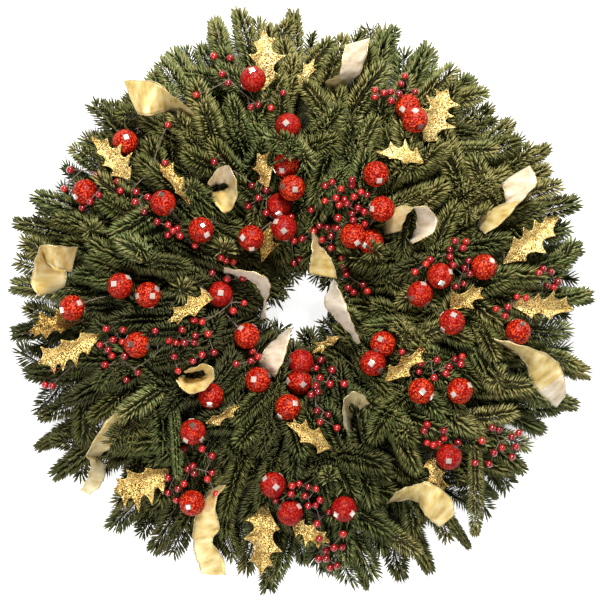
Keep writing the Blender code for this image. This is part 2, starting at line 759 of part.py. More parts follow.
def finish_ribbons(made):
    for name, edges in made:
        starts = [a.lerp(b, part) for a, b in edges[1:-1] for part in (0.5, 0.85)]
        start, foot = seated_stem(name, starts)
        rods.add(number(name), -2, start, foot, STEM)
        body = solid(strip(edges, RIBBON_THICKNESS))
        fuse(name, [body, stem_object(start, foot, STEM_TOP)], "champagne_satin", "EXACT")


# Holly leaves

def leaf_frame(base, tip, roll):
    ahead = (tip - base).normalized()
    up = Vector((0, 0, 1))
    up = (up - ahead * up.dot(ahead)).normalized()
    up = Matrix.Rotation(math.radians(roll), 3, ahead) @ up
    return ahead, up.cross(ahead), up


def leaf_points(leaf):
    """Rows of left edge, rib and right edge, from the stalk to the tip."""
    bx, by, tx, ty, width, pairs, roll = leaf
    middle = spot((bx + tx) / 2, (by + ty) / 2, VIEW_PLANE)
    level = crown(middle) + 0.002
    base = spot(bx, by, level - 0.006)
    tip = spot(tx, ty, level - 0.002)
    ahead, side, up = leaf_frame(base, tip, roll)
    length = (tip - base).length
    half = width * PIXEL / 2
    rows = []
    steps = 2 * pairs
    for step in range(steps + 1):
        part = step / steps
        spine = step % 2 == 1
        edge = half * math.sin(math.pi * min(part * 0.9 + 0.06, 1)) ** 0.6
        edge *= 1.0 if spine else 0.60
        if step in (0, steps):
            edge = 0.0012
        arch = 0.10 * length * math.sin(math.pi * part)
        rib = base + ahead * length * part + up * arch
        row = []
        for sign in (1, -1):
            raised = edge * 0.16 + (0.0015 if spine else 0.0)
            forward = ahead * (0.0028 if spine else 0.0)
            row.append(rib + side * sign * edge + up * raised + forward)
        rows.append((row[0], rib, row[1]))
    return rows


def leaf_rods(rows):
    pieces = []
    for upper, lower in zip(rows, rows[1:]):
        for part in (0.0, 0.33, 0.66):
            left, rib, right = (a.lerp(b, part) for a, b in zip(upper, lower))
            pieces += [(left, rib, 0.0016), (rib, right, 0.0016)]
    return pieces


def leaf_body(rows):
    shape = bmesh.new()
    bmesh.ops.create_grid(shape, x_segments=len(rows) - 1, y_segments=2, size=0.5)
    for vert in shape.verts:
        row = round((vert.co.x + 0.5) * (len(rows) - 1))
        column = round((vert.co.y + 0.5) * 2)
        vert.co = rows[row][column]
    bmesh.ops.triangulate(shape, faces=shape.faces, quad_method="FIXED")
    item = to_object(shape)
    wall = item.modifiers.new("thickness", "SOLIDIFY")
    wall.thickness = LEAF_THICKNESS
    wall.offset = 0
    return solid(item)


def holly_leaves():
    made = []
    for name, leaves in LEAVES.items():
        sprays = []
        for leaf in leaves:
            rows = leaf_points(leaf)
            pieces = leaf_rods(rows)
            lift = settle(name, pieces)
            keep(name, pieces, lift)
            rise = Vector((0, 0, lift))
            sprays.append([tuple(place + rise for place in row) for row in rows])
        made.append((name, sprays))
    return made


def finish_leaves(made):
    for name, sprays in made:
        pieces = [leaf_body(rows) for rows in sprays]
        joints = [rows[1][1] for rows in sprays]
        rows = sprays[0]
        starts = [(rows[step][1] * 2 + rows[step + 1][1] + rows[step][side]) / 4
                  for step in (1, 2, 3) for side in (0, 2)]
        start, foot = seated_stem(name, starts)
        pieces.append(stem_object(start, foot, STEM_TOP))
        rods.add(number(name), -2, start, foot, STEM)
        if len(sprays) > 1:
            knot = start.lerp(foot, 0.55)
            way = clear_way(name, knot, joints[1])
            pieces.append(to_object(stick(way, [TWIG * 1.1] * len(way), 3)))
            for a, b in zip(way, way[1:]):
                rods.add(number(name), -2, a, b, TWIG)
        fuse(name, pieces, "gold_glitter", "EXACT")


# Picks of balls and berries

def clear_way(name, start, end):
    """A wire from start to end, bent where the straight line would meet another node."""
    middle = start.lerp(end, 0.5)
    across = (end - start).cross(Vector((0, 0, 1)))
    if across.length > 0:
        across.normalize()
    tries = [None]
    for reach in (0.006, 0.012, 0.018):
        tries += [Vector((0, 0, -reach)), across * reach, across * -reach,
                  Vector((0, 0, reach)), across * reach - Vector((0, 0, reach)),
                  across * -reach - Vector((0, 0, reach))]
    for shift in tries:
        points = [start, end] if shift is None else [start, middle + shift, end]
        if is_clear(name, [(a, b, TWIG) for a, b in zip(points, points[1:])]):
            return points
    return None


def picks():
    """Balls and berries in their places, before their wires."""
    made = []
    for name, (balls, berries) in PICKS.items():
        spheres = []
        for px, py, sink in balls:
            place = spot(px, py, crown(spot(px, py, VIEW_PLANE)) + 0.004 - sink / 1000)
            lift = settle(name, [(place, place, BALL)])
            place = spot(px, py, place.z + lift)
            keep(name, [(place, place, BALL)])
            spheres.append(place)
        made.append((name, spheres, berries))
    return made


def place_berries(name, berries, spheres):
    draw = random.Random(name)
    places = []
    for px, py in berries:
        level = crown(spot(px, py, VIEW_PLANE)) + draw.uniform(-0.004, 0.006)
        place = spot(px, py, level)
        for lift in (0, 3, -3, 6, -6, 9, -9, 12, -12):
            trial = spot(px, py, level + lift / 1000)
            apart = min([(trial - other).length - BALL for other in spheres] + [1.0])
            if apart > BERRY + 0.001 and is_clear(name, [(trial, trial, BERRY)]):
                place = trial
                break
        else:
            continue
        keep(name, [(place, place, BERRY)])
        places.append(place)
    return places


def finish_picks(made):
    for name, spheres, berries in made:
        beads = place_berries(name, berries, spheres)
        middle = sum(spheres + beads, Vector()) / len(spheres + beads)
        middle.z = crown(middle) - 0.030
        knot, foot = seated_stem(name, [middle + Vector((x, y, z)) for z in (0, -0.008, 0.008)
                                        for x in (0, 0.012, -0.012)
                                        for y in (0, 0.012, -0.012)])
        pieces = [bead(knot, KNOT), stem_object(knot, foot)]
        rods.add(number(name), -2, knot, knot, KNOT)
        rods.add(number(name), -2, knot, foot, STEM)
        for place in spheres + beads:
            way = clear_way(name, knot, place)
            if way is None:
                raise ValueError(f"no clear wire in {name} to {place}")
            if place in spheres:
                pieces.append(ball(place, BALL, 6, 5))
            else:
                pieces.append(bead(place, BERRY, way[-2]))
            pieces.append(to_object(stick(way, [TWIG] * len(way), 3)))
            for a, b in zip(way, way[1:]):
                rods.add(number(name), -2, a, b, TWIG)
        fuse(name, pieces, "red_beads")


# The whole wreath

clear_scene()
wreath = new_collection("wreath")
workshop = new_collection("workshop")
guides = new_collection("guides")
materials = make_materials()
sections = {sides: section(sides) for sides in (3, 4, BUNDLE_SIDES)}

clamp_ring()
bundles = lay_bundles()
low_shoots = outer_shoots()
for shoot in low_shoots:
    for a, b, radius in shoot.core_rods():
        rods.add(number(shoot.bunch), shoot.owner, a, b, radius)
low_shoots += inner_shoots()
carriers = Carriers(bundles + [shoot.core() for shoot in low_shoots])

set_ribbons = ribbons()
set_leaves = holly_leaves()
set_picks = picks()
finish_ribbons(set_ribbons)
finish_leaves(set_leaves)
finish_picks(set_picks)

shoots = low_shoots + crown_shoots()
needle_draw = random.Random(7)
for index, bundle in enumerate(bundles):
    pieces = [to_object(bundle)]
    for shoot in shoots:
        if shoot.bunch == bunch_name(index):
            pieces.append(to_object(shoot.grow(needle_draw)))
    fuse(bunch_name(index), pieces, "fir")

for guide in list(guides.objects):
    bpy.data.objects.remove(guide, do_unlink=True)
for collection in (workshop, guides):
    bpy.data.collections.remove(collection)
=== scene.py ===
import math
import random

import bmesh
import bpy
import numpy
from mathutils import Matrix, Vector
from mathutils.bvhtree import BVHTree
from mathutils.kdtree import KDTree


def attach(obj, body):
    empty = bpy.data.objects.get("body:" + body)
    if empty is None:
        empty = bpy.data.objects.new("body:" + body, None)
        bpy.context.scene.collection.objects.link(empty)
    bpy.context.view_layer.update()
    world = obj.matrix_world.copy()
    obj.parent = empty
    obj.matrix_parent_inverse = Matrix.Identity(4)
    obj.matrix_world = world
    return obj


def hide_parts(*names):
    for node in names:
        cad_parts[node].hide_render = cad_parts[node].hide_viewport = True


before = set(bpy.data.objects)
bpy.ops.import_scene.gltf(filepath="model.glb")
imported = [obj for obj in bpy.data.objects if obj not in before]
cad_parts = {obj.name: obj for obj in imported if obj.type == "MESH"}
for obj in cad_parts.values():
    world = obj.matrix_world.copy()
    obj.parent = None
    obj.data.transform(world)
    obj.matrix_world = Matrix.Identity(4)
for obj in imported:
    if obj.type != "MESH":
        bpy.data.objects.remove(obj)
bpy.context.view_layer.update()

# Where the picture's pixels lie, in metres
PIXEL = 0.0011
VIEW_PLANE = 0.070
VIEW_DISTANCE = 2.60
CENTRE_PX = (301.0, 300.0)
SENSOR = 36.0
PICTURE = 600

# Each lamp's place, size, power and colour
LAMPS = {
    "key_light": ((0.30, 1.50, 1.9), 0.5, 80, (1.0, 0.965, 0.90)),
    "fill_light": ((-0.7, -1.1, 1.6), 0.9, 22, (1.0, 0.98, 0.95)),
}
SURROUND_GLOW = 0.26

# The ring and its bundles
CLAMPS = 12
CLAMP_RADIUS = 0.152
RING_RADII = (0.1365, 0.1675)
RING_WIRE = 0.0022
RING_HEIGHT = 0.0040
CLEAT = (0.040, 0.012, 0.0025)
CLAMP_WIRE = 0.0015
CLAMP_BEND = 0.0113
CLAMP_FOOT = 0.0015
BUNDLE_RADIUS = 0.0080
BUNDLE_HEIGHT = CLEAT[2] + 0.0005 + BUNDLE_RADIUS * math.cos(math.pi / 6)
BUNDLE_HALF_ANGLE = 11.0
CUT_STEM = 0.0026           # six round a middle one
CUT_STEM_OFFSET = 0.0049
MIDDLE_STEM = 0.0024

# The foliage's domed top: its radii, its height at the edges and its rise between them
CROWN_INNER = 0.035
CROWN_OUTER = 0.335
CROWN_EDGE = 0.030
CROWN_RISE = 0.078

# Fir
SHOOT_ROOT = 0.0020
SHOOT_TIP = 0.0008
NEEDLE = 0.0172
NEEDLE_WIDTH = 0.0025
NEEDLE_THICKNESS = 0.0011
NEEDLE_CURL = 0.16          # how far a needle's tip bends towards the shoot's end
RANK_STEP = 0.0024          # between two needles of one rank
RANKS = [84, -84, 56, -56, 18, -20]  # degrees round the shoot from its top
RANK_SHIFT = 0.37           # how far each rank starts after the last, in steps
OUTER_DENSER = 0.82         # step of the shoots at the outline, as a part of the others'
PLAIN_SPARSER = 1.25        # and of those in the lower layers
PLACE_JITTER = 0.10         # in steps
TURN_JITTER = 0.07          # round the shoot, in radians
SWEEP_JITTER = 2.2          # between needle and shoot, in degrees
LENGTH_JITTER = (0.92, 1.06)
LEAN_JITTER = 0.16
TONE_JITTER = 0.13
TIP_NEEDLE = 0.010
END_ROOM = 0.0150           # round a shoot's end, where its needles may pass the outline
OUTLINE_HEIGHTS = (0.046, 0.024)
OUTLINE_BEND_HEIGHTS = (0.078, 0.052)
OUTLINE_BEND = 0.225
MORE_TIP_HEIGHTS = (0.030, 0.042, 0.054)
SWEEPS = (62, 78)           # degrees between a shoot and its needles
ROLL = 0.35                 # how far a shoot may be turned round itself, in radians
SIZES = (0.84, 1.14)        # length of a shoot's needles, as a part of the usual one
NARROW_SIZE = 0.62
NARROW_SWEEP = 56
OUTER_BARE = 0.052
INNER_BARE = 0.030
FOLIAGE_REACH = 0.329
BUD = 0.0030
OUTLINE_ROOM = 4            # pixels that the needles may pass the outline's tips by
TONE = 0.42                 # how pale the needles are, from 0 to 1
# painted shade: the twigs of the lower layers and round the hole, under the others, are darker
SHADED_LOW_TONE = 0.16
# painted light: the tufts that stand up towards the lamps are paler than the other shoots
LIT_TUFT_TONE = 0.72
TONE_SPREAD = 0.11
PALER_OUTWARDS = 1.3
# painted shade and light: an upper-layer twig is darker by this much per metre that its tip lies
# under the crown, paler over it
PAINTED_SHADE_BY_DEPTH = 7
MIDDLE_RADIUS = 0.205
TWIG_CLEARANCE = 0.0035
SINKS = (0.0, 0.007, 0.014, 0.021, 0.028)
LOW_LENGTHS = (0.066, 0.080)
LOW_LEAN = 30               # degrees that a twig may lean from straight outwards
TWIG_LENGTHS = (0.050, 0.072)
TWIG_DROPS = (0.006, 0.018)  # how far a twig's foot lies under its tip
TWIG_LEAN = 26
TIP_LEVELS = (-0.026, 0.005)  # of the upper layers' tips, over the crown
LIFTS = [0.0] + [sign * step * 0.0025 for step in range(1, 14) for sign in (1, -1)]
COVER_DEPTH = 0.075         # how far under a needle an ornament counts as covered by it
STRAY = 0.05                # the share of needles that may lie in front of an ornament

# Ornaments
BALL = 0.0140
BALL_MATCH = 0.0004         # how near a vertex of the CAD has to be to a ball's top
BERRY = 0.0042
BALL_GUARD = 1.04           # the radius round a ball that needles keep off, as a part of its own
BALL_CORE = 0.985           # the part of a ball's radius that its beads stand on
MIRROR = 0.0060
MIRROR_REACH = 0.93         # how far out from a ball's middle a shown mirror may sit
MIRROR_TRIES = 40
HIDDEN_FROM = -0.40         # height on a unit ball under which mirrors are placed at random
TWIG = 0.00055
BALL_SAG = 0.004
BERRY_SAG = 0.005
BERRY_JOINT = 4             # the step of a berry's wire from which another may branch
WIRE_STEPS = 6
WIRE_CLEARANCE = 0.0012
STEM = 0.0010
STEM_GAP = 0.0017           # from a ribbon's middle line to its stem's end
KNOT = 0.0034
KNOT_DEPTH = 0.030          # under the crown
KNOT_RISE = 0.008           # how far the CAD may have moved a knot, up or down and sideways
KNOT_SHIFT = 0.012
LEAF_THICKNESS = 0.0008
LEAF_ARCH = 0.10            # as a part of the leaf's length
LEAF_STEPS = 52
LEAF_CUP = 0.20             # rise of a leaf's edge, as a part of its half width
LEAF_GROOVE = 0.0007
LEAF_VEIN = 0.0004
LEAF_BUCKLE = 0.0009
SPINE_RISE = 0.0022
SPINE_SWEEP = 0.0034
RIBBON_WIDTH = 0.038
RIBBON_THICKNESS = 0.0005
RIBBON_ARCH = 0.0011
RIBBON_WAVE = 0.0006
RIBBON_STEPS = 7            # rows between two stations
COLUMNS = 10                # faces across a ribbon or a leaf
EDGE_WIRE = 0.00055

# The ends of the shoots that make the outline, in the CAD and besides it
OUTLINE_TIPS = [
    (596, 297), (584, 249), (582, 200), (552, 145), (514, 120), (474, 77), (431, 43),
    (388, 23), (328, 40), (293, 4), (238, 6), (213, 16), (170, 47), (120, 98), (88, 99),
    (59, 165), (31, 194), (11, 221), (9, 286), (4, 335), (23, 375), (34, 450), (50, 478),
    (109, 532), (151, 555), (200, 556), (267, 598), (304, 566), (367, 594), (432, 575),
    (472, 552), (500, 502), (527, 473), (546, 432), (580, 408), (592, 374),
]
MORE_TIPS = [
    (554, 165), (497, 100), (457, 61), (345, 28), (320, 40), (265, 18), (197, 39), (145, 72),
    (78, 133), (19, 243), (33, 420), (77, 490), (133, 531), (244, 577), (335, 580), (404, 584),
    (576, 332),
]
# The outline of the hole
HOLE = [
    (298, 272), (307, 279), (324, 287), (325, 309), (321, 319), (319, 331), (305, 331),
    (291, 336), (265, 317), (265, 301), (288, 301), (289, 287), (282, 281),
]
# The CAD's other shoots of a bunch: lean in degrees, then the radius, height and share of the
# lean at their bend and at their tip
SPREAD = [
    (-7.5, (0.105, 0.082, 1.0), (0.056, 0.058, 1.0)),
    (7.5, (0.100, 0.046, 1.0), (0.062, 0.030, 1.0)),
    (-9, (0.170, 0.085, 1.1), (0.228, 0.088, 1.2)),
    (9, (0.150, 0.088, 1.0), (0.150, 0.100, 1.0)),
]
# How far the CAD may have sunk and turned them from there, in metres and degrees
SPREAD_SINKS = (0.0, 0.008, 0.016, 0.024)
SPREAD_TURNS = (0, 3, -3, 6, -6, 9, -9)
# Lower layers of twigs: radius of their tips, height, number, and outwards or inwards
LOW_LAYERS = [
    (0.298, 0.022, 54, 1), (0.268, 0.036, 48, 1), (0.232, 0.046, 46, 1),
    (0.196, 0.052, 36, 1), (0.094, 0.034, 16, -1), (0.064, 0.030, 12, -1),
]
# Upper layers of twigs: radius of their tips, number, and outwards or inwards
LAYERS = [
    (0.306, 48, 1), (0.284, 46, 1), (0.260, 42, 1), (0.237, 38, 1), (0.214, 36, 1),
    (0.192, 32, 1), (0.170, 28, 1), (0.148, 23, 1), (0.128, 24, -1), (0.108, 21, -1),
    (0.088, 18, -1), (0.070, 14, -1), (0.054, 12, -1), (0.044, 9, -1),
]
# Outline shoots with short needles laid close along them
NARROW = [(472, 552), (404, 584), (500, 502), (367, 594), (59, 165)]
# Tufts that point at the viewer
TUFTS = [
    (222, 250), (289, 144), (139, 248), (404, 335), (112, 424), (350, 120), (470, 210),
    (236, 420), (330, 480), (500, 380), (90, 230), (408, 430), (180, 290), (352, 318),
]
# Twigs seen whole: the pixels of their foot and tip, height over the crown, size and tone
OVERLYING = [
    (312, 146, 272, 139, 0.022, 0.85, 0.50), (296, 136, 282, 160, 0.024, 0.85, 0.50),
    (180, 126, 198, 102, 0.010, 0.80, 0.42), (206, 180, 184, 190, 0.012, 0.85, 0.60),
    (96, 446, 126, 424, 0.014, 0.90, 0.25), (120, 420, 112, 446, 0.014, 0.90, 0.25),
    (386, 256, 368, 247, 0.020, 0.85, 0.45), (428, 176, 400, 168, 0.014, 0.90, 0.50),
    (322, 60, 346, 52, 0.012, 0.90, 0.62), (478, 448, 475, 530, 0.010, 0.66, 0.62),
    (489, 474, 507, 506, 0.004, 0.45, 0.55), (178, 404, 178, 474, 0.010, 0.52, 0.50),
    (166, 390, 124, 414, 0.010, 0.95, 0.72), (150, 252, 126, 244, 0.010, 1.00, 0.66),
]
# How much paler or darker the shoots are painted in each eighth, from the right round to the top:
# painted light and shade, paler towards the key lamp
EIGHTH_LIGHT_AND_SHADE = (0.0, 0.10, 0.06, -0.10, -0.34, -0.16, -0.10, 0.12)
# Colours of the green, the bluish and the dry needles, at the same stops of their tone
NEEDLE_STOPS = (0.0, 0.35, 0.65, 1.0)
NEEDLE_SHADES = (
    ((0.008, 0.009, 0.002), (0.040, 0.050, 0.008), (0.120, 0.132, 0.022), (0.460, 0.410, 0.150)),
    ((0.006, 0.010, 0.003), (0.026, 0.050, 0.011), (0.084, 0.138, 0.030), (0.360, 0.420, 0.160)),
    ((0.012, 0.009, 0.003), (0.062, 0.045, 0.013), (0.175, 0.125, 0.042), (0.500, 0.400, 0.180)),
)
# Twigs low round the hole, dark with painted shade: the pixels of their foot and tip and their
# height in mm
HOLE_TWIGS = [
    (236, 262, 270, 284, 44), (240, 250, 280, 284, 36), (238, 282, 276, 296, 40),
    (252, 240, 284, 276, 40), (262, 230, 292, 276, 34), (274, 224, 298, 266, 42),
    (282, 222, 291, 262, 46), (312, 226, 306, 268, 38), (330, 238, 318, 276, 40),
    (346, 250, 328, 284, 36), (228, 300, 262, 304, 34), (230, 318, 262, 312, 38),
    (346, 318, 330, 316, 36), (318, 366, 312, 336, 34), (280, 370, 282, 336, 36),
    (240, 290, 282, 300, 30), (250, 256, 284, 290, 30), (300, 216, 300, 262, 30),
]
# Places where needles lie over an ornament, with their radius in pixels
COVERED = [
    (84, 200, 9), (82, 300, 7), (117, 416, 13), (350, 72, 14), (344, 90, 10), (112, 252, 10),
    (96, 265, 10), (258, 94, 8), (376, 242, 9), (216, 200, 5), (516, 352, 6), (406, 498, 8),
    (300, 74, 8), (190, 112, 13), (204, 540, 6), (290, 140, 16), (283, 154, 8),
    (188, 186, 9), (114, 434, 14), (398, 168, 10), (344, 52, 9), (189, 228, 7), (240, 243, 6),
    (530, 328, 6), (463, 317, 7), (530, 364, 7), (537, 372, 6), (437, 122, 4), (297, 395, 4),
    (222, 506, 7), (222, 520, 7), (78, 266, 6), (128, 112, 5), (150, 116, 5),
]

# Ribbons: each station is one edge's pixel, the other edge's pixel and the height in mm
RIBBONS = {
    "ribbon_upper_left": [
        (124, 81, 137, 113, 97), (143, 81, 147, 115, 106), (158, 84, 160, 112, 106),
        (172, 96, 171, 110, 94), (186, 106, 182, 114, 82), (200, 119, 194, 124, 68),
    ],
    "ribbon_top": [
        (345, 45, 370, 38, 96), (342, 60, 366, 56, 99), (340, 73, 359, 74, 95),
        (336, 77, 347, 84, 84), (326, 82, 340, 92, 73), (327, 86, 336, 98, 62),
    ],
    "ribbon_inner_top_left": [
        (208, 184, 211, 187, 92), (216, 171, 218, 184, 101), (227, 166, 226, 183, 108),
        (235, 178, 229, 185, 112), (237, 193, 228, 188, 112), (233, 207, 222, 191, 108),
        (225, 213, 213, 192, 101), (216, 205, 210, 196, 93),
    ],
    "ribbon_inner_top_right": [
        (400, 231, 384, 235, 95), (403, 223, 388, 216, 104), (408, 213, 399, 206, 111),
        (416, 207, 412, 207, 115), (428, 208, 417, 213, 116), (437, 221, 417, 224, 112),
        (431, 234, 414, 233, 103), (412, 243, 409, 241, 93),
    ],
    "ribbon_right_upper": [
        (529, 166, 502, 182, 92), (536, 181, 505, 192, 98), (528, 193, 506, 202, 97),
        (515, 207, 492, 209, 91), (503, 221, 483, 215, 84), (485, 234, 477, 228, 74),
    ],
    "ribbon_left_upper": [
        (79, 248, 73, 272, 86), (66, 247, 62, 269, 95), (53, 246, 50, 263, 99),
        (43, 246, 45, 257, 95), (38, 257, 52, 263, 88), (36, 270, 66, 272, 80),
        (33, 281, 66, 283, 71), (41, 296, 56, 293, 61),
    ],
    "ribbon_hole_left": [
        (224, 268, 224, 273, 88), (238, 270, 236, 276, 95), (252, 272, 251, 281, 99),
        (265, 277, 257, 286, 99), (270, 284, 261, 293, 94), (269, 293, 264, 301, 86),
        (266, 303, 263, 311, 77), (266, 318, 258, 322, 68),
    ],
    "ribbon_hole_top": [
        (313, 231, 318, 233, 86), (312, 243, 321, 246, 95), (312, 254, 328, 255, 100),
        (310, 264, 333, 264, 99), (309, 274, 337, 279, 92),
    ],
    "ribbon_hole_right": [
        (335, 281, 333, 280, 82), (338, 289, 328, 291, 88), (344, 301, 324, 304, 92),
        (347, 311, 332, 314, 92), (351, 321, 341, 325, 88), (355, 331, 350, 334, 80),
        (360, 342, 357, 344, 70),
    ],
    "ribbon_hole_bottom": [
        (292, 328, 282, 333, 84), (290, 334, 275, 340, 90), (287, 347, 267, 347, 97),
        (284, 359, 261, 358, 98), (279, 369, 259, 366, 91), (276, 376, 262, 378, 80),
    ],
    "ribbon_inner_left": [
        (184, 371, 186, 373, 88), (195, 367, 194, 372, 96), (206, 364, 202, 370, 102),
        (214, 372, 206, 374, 105), (211, 383, 202, 378, 104), (199, 392, 195, 379, 100),
        (186, 392, 187, 378, 94), (176, 380, 183, 374, 87),
    ],
    "ribbon_inner_bottom": [
        (369, 404, 360, 410, 92), (364, 396, 356, 406, 101), (354, 392, 350, 404, 106),
        (345, 398, 349, 410, 104), (343, 410, 352, 414, 97), (344, 424, 351, 424, 88),
        (349, 437, 352, 437, 77),
    ],
    "ribbon_lower_left": [
        (117, 412, 143, 423, 84), (107, 421, 130, 434, 80), (96, 438, 114, 446, 71),
        (87, 455, 100, 455, 61), (91, 462, 104, 463, 52), (90, 472, 105, 473, 45),
        (86, 482, 100, 486, 39), (80, 491, 89, 495, 34),
    ],
    "ribbon_bottom_left": [
        (226, 485, 216, 487, 86), (217, 498, 201, 499, 88), (216, 512, 196, 514, 84),
        (220, 527, 193, 530, 76), (213, 538, 193, 543, 67), (214, 545, 195, 556, 58),
        (223, 557, 199, 566, 50), (226, 575, 201, 574, 43),
    ],
    "ribbon_bottom_right": [
        (396, 492, 385, 504, 74), (407, 487, 404, 500, 79), (418, 484, 417, 502, 85),
        (428, 482, 421, 508, 91), (441, 489, 426, 516, 91), (452, 500, 433, 522, 84),
        (454, 515, 440, 527, 73),
    ],
    "ribbon_right_lower": [
        (494, 339, 498, 343, 88), (512, 343, 513, 352, 92), (532, 349, 524, 361, 91),
        (548, 356, 530, 376, 85), (559, 367, 534, 386, 76), (564, 383, 545, 398, 65),
        (564, 397, 556, 407, 54),
    ],
}
# Ribbons whose gold face is the lower one at the first station
TURNED = ["ribbon_left_upper", "ribbon_inner_top_right", "ribbon_hole_left", "ribbon_hole_top",
          "ribbon_hole_right", "ribbon_hole_bottom", "ribbon_inner_bottom", "ribbon_lower_left"]
# Where a fold turns a ribbon over, as parts of its length
OVER = {"ribbon_top": (0.55, 1.0), "ribbon_right_upper": (0.0, 0.50),
        "ribbon_inner_top_left": (0.0, 0.40), "ribbon_right_lower": (0.72, 1.0)}
# How much paler a ribbon's satin is than the others': painted light on ribbons that face away from
# the lamps
RIBBON_PAINTED_LIGHT = {
    "ribbon_left_upper": 0.03, "ribbon_hole_left": 0.12, "ribbon_hole_right": 0.12,
    "ribbon_hole_bottom": 0.04, "ribbon_inner_bottom": 0.16, "ribbon_inner_top_right": 0.08,
    "ribbon_lower_left": 0.04,
}

# Holly leaves: stalk end's pixel, tip's pixel, width in pixels, pairs of side spines, roll
LEAVES = {
    "holly_leaf_top": [(262, 92, 264, 33, 37, 4, 5), (300, 88, 313, 62, 17, 2, -10)],
    "holly_leaf_upper_left": [(130, 180, 93, 139, 33, 4, 0)],
    "holly_leaf_upper_right": [(424, 142, 446, 92, 37, 4, 5), (424, 163, 379, 153, 22, 3, 20)],
    "holly_leaf_left_upper": [(190, 205, 158, 166, 21, 3, 35)],
    "holly_leaf_inner_top": [(268, 188, 258, 156, 25, 3, 20), (262, 262, 270, 224, 25, 3, 10)],
    "holly_leaf_left_inner": [(213, 298, 170, 321, 28, 3, 15)],
    "holly_leaf_left": [(102, 334, 41, 362, 31, 4, 0), (83, 320, 32, 332, 22, 2, 25)],
    "holly_leaf_right_inner": [(450, 309, 480, 289, 25, 3, 10)],
    "holly_leaf_right_upper": [(503, 264, 556, 219, 38, 4, 0)],
    "holly_leaf_right": [(510, 305, 571, 309, 25, 4, 15)],
    "holly_leaf_lower_right": [(385, 382, 422, 350, 25, 3, 10), (339, 337, 314, 352, 14, 2, 15)],
    "holly_leaf_lower": [(331, 448, 289, 424, 27, 3, 0), (205, 424, 237, 406, 16, 2, 30)],
    "holly_leaf_lower_left": [(170, 469, 116, 489, 38, 4, 0)],
    "holly_leaf_bottom": [(266, 503, 261, 572, 40, 4, 0), (292, 522, 328, 541, 27, 3, 15)],
    "holly_leaf_lower_right_outer": [(430, 458, 443, 490, 23, 3, 10)],
}
# How much paler or darker the glitter of a leaf is: painted light on leaves that catch more of the
# lamps, painted shade on those in shade
LEAF_PAINTED_LIGHT = {"holly_leaf_top_1": 0.20, "holly_leaf_top_2": 0.20, "holly_leaf_upper_left_1": 0.10,
              "holly_leaf_upper_right_1": 0.18, "holly_leaf_upper_right_2": 0.18,
              "holly_leaf_inner_top_2": -0.16, "holly_leaf_left_1": 0.05,
              "holly_leaf_left_2": -0.17, "holly_leaf_right_upper_1": 0.12,
              "holly_leaf_right_1": 0.10, "holly_leaf_bottom_1": 0.04}
# Where the spines of the leaves that lie open end, by the leaf's stalk end
SPINES = {
    (262, 92): [(275, 41), (285, 59), (281, 78), (252, 45), (247, 58), (250, 76)],
    (130, 180): [(125, 145), (135, 154), (134, 167), (99, 155), (104, 168), (112, 178),
                 (110, 140)],
    (424, 142): [(433, 91), (422, 97), (418, 110), (459, 108), (455, 130), (438, 143),
                 (452, 119), (417, 126)],
    (424, 163): [(407, 142), (418, 150), (392, 146), (404, 168), (390, 163)],
    (190, 205): [(171, 168), (160, 182), (173, 198), (181, 183)],
    (268, 188): [(250, 172), (268, 154), (272, 170), (256, 184)],
    (262, 262): [(278, 246), (257, 246), (276, 232), (259, 234)],
    (213, 298): [(203, 287), (190, 296), (181, 326), (198, 318), (176, 308)],
    (102, 334): [(43, 345), (58, 373), (67, 371), (80, 366), (91, 355), (64, 338), (83, 331)],
    (83, 320): [(43, 315), (60, 312), (38, 340), (50, 344), (65, 338)],
    (450, 309): [(448, 289), (470, 284), (481, 299), (471, 309)],
    (503, 264): [(511, 238), (520, 228), (531, 220), (543, 217), (553, 238), (544, 256),
                 (524, 263)],
    (510, 305): [(520, 295), (536, 289), (551, 286), (564, 293), (529, 316), (547, 317)],
    (385, 382): [(417, 348), (421, 362), (398, 355), (407, 376), (386, 364)],
    (331, 448): [(296, 419), (308, 419), (321, 427), (319, 455), (302, 443)],
    (170, 469): [(129, 467), (148, 466), (166, 494), (156, 506), (142, 511), (128, 509),
                 (118, 476)],
    (266, 503): [(243, 535), (249, 558), (281, 526), (283, 548), (245, 517), (274, 563)],
    (430, 458): [(423, 465), (437, 457), (450, 484), (427, 480), (446, 469)],
}

# Picks: pixels of the balls, then pixels of the berries that the CAD has
PICKS = {
    "pick_top": [[(253, 79)], [(214, 56), (196, 95), (283, 93)]],
    "pick_top_centre": [[(288, 126), (292, 188), (284, 228), (286, 165), (279, 206),
                         (251, 238)], [(258, 198), (311, 210)]],
    "pick_top_right": [[(415, 120), (408, 107)], [(405, 76), (375, 90), (391, 92)]],
    "pick_inner_top_right": [[(376, 174), (382, 209), (353, 236), (371, 242)],
                             [(325, 186), (322, 240), (346, 275)]],
    "pick_upper_left": [[(125, 142), (85, 192)], [(168, 125), (70, 170), (144, 212)]],
    "pick_left_upper": [[(163, 203), (201, 230)], [(157, 222), (180, 236)]],
    "pick_left": [[(120, 286), (148, 295), (72, 308)], [(106, 329)]],
    "pick_left_lower": [[(137, 345)], [(182, 330), (105, 365), (176, 343)]],
    "pick_left_inner": [[(220, 294), (247, 336)], [(194, 320), (227, 279)]],
    "pick_lower_middle": [[(258, 380), (301, 362), (299, 382), (288, 407)],
                          [(251, 361), (332, 370), (317, 411)]],
    "pick_lower_left": [[(211, 396), (193, 432), (192, 503)], [(212, 456), (168, 478)]],
    "pick_bottom": [[(273, 485), (290, 513), (344, 509)], [(308, 487), (326, 551)]],
    "pick_lower_right_outer": [[(449, 457)], [(427, 425), (492, 428), (512, 437)]],
    "pick_lower_right": [[(421, 391), (460, 391), (383, 344), (373, 363)],
                         [(402, 352), (434, 378)]],
    "pick_right": [[(440, 276), (420, 294), (484, 267), (452, 322)], [(455, 241), (450, 257)]],
    "pick_right_outer": [[(518, 332)], [(543, 269), (496, 309)]],
}
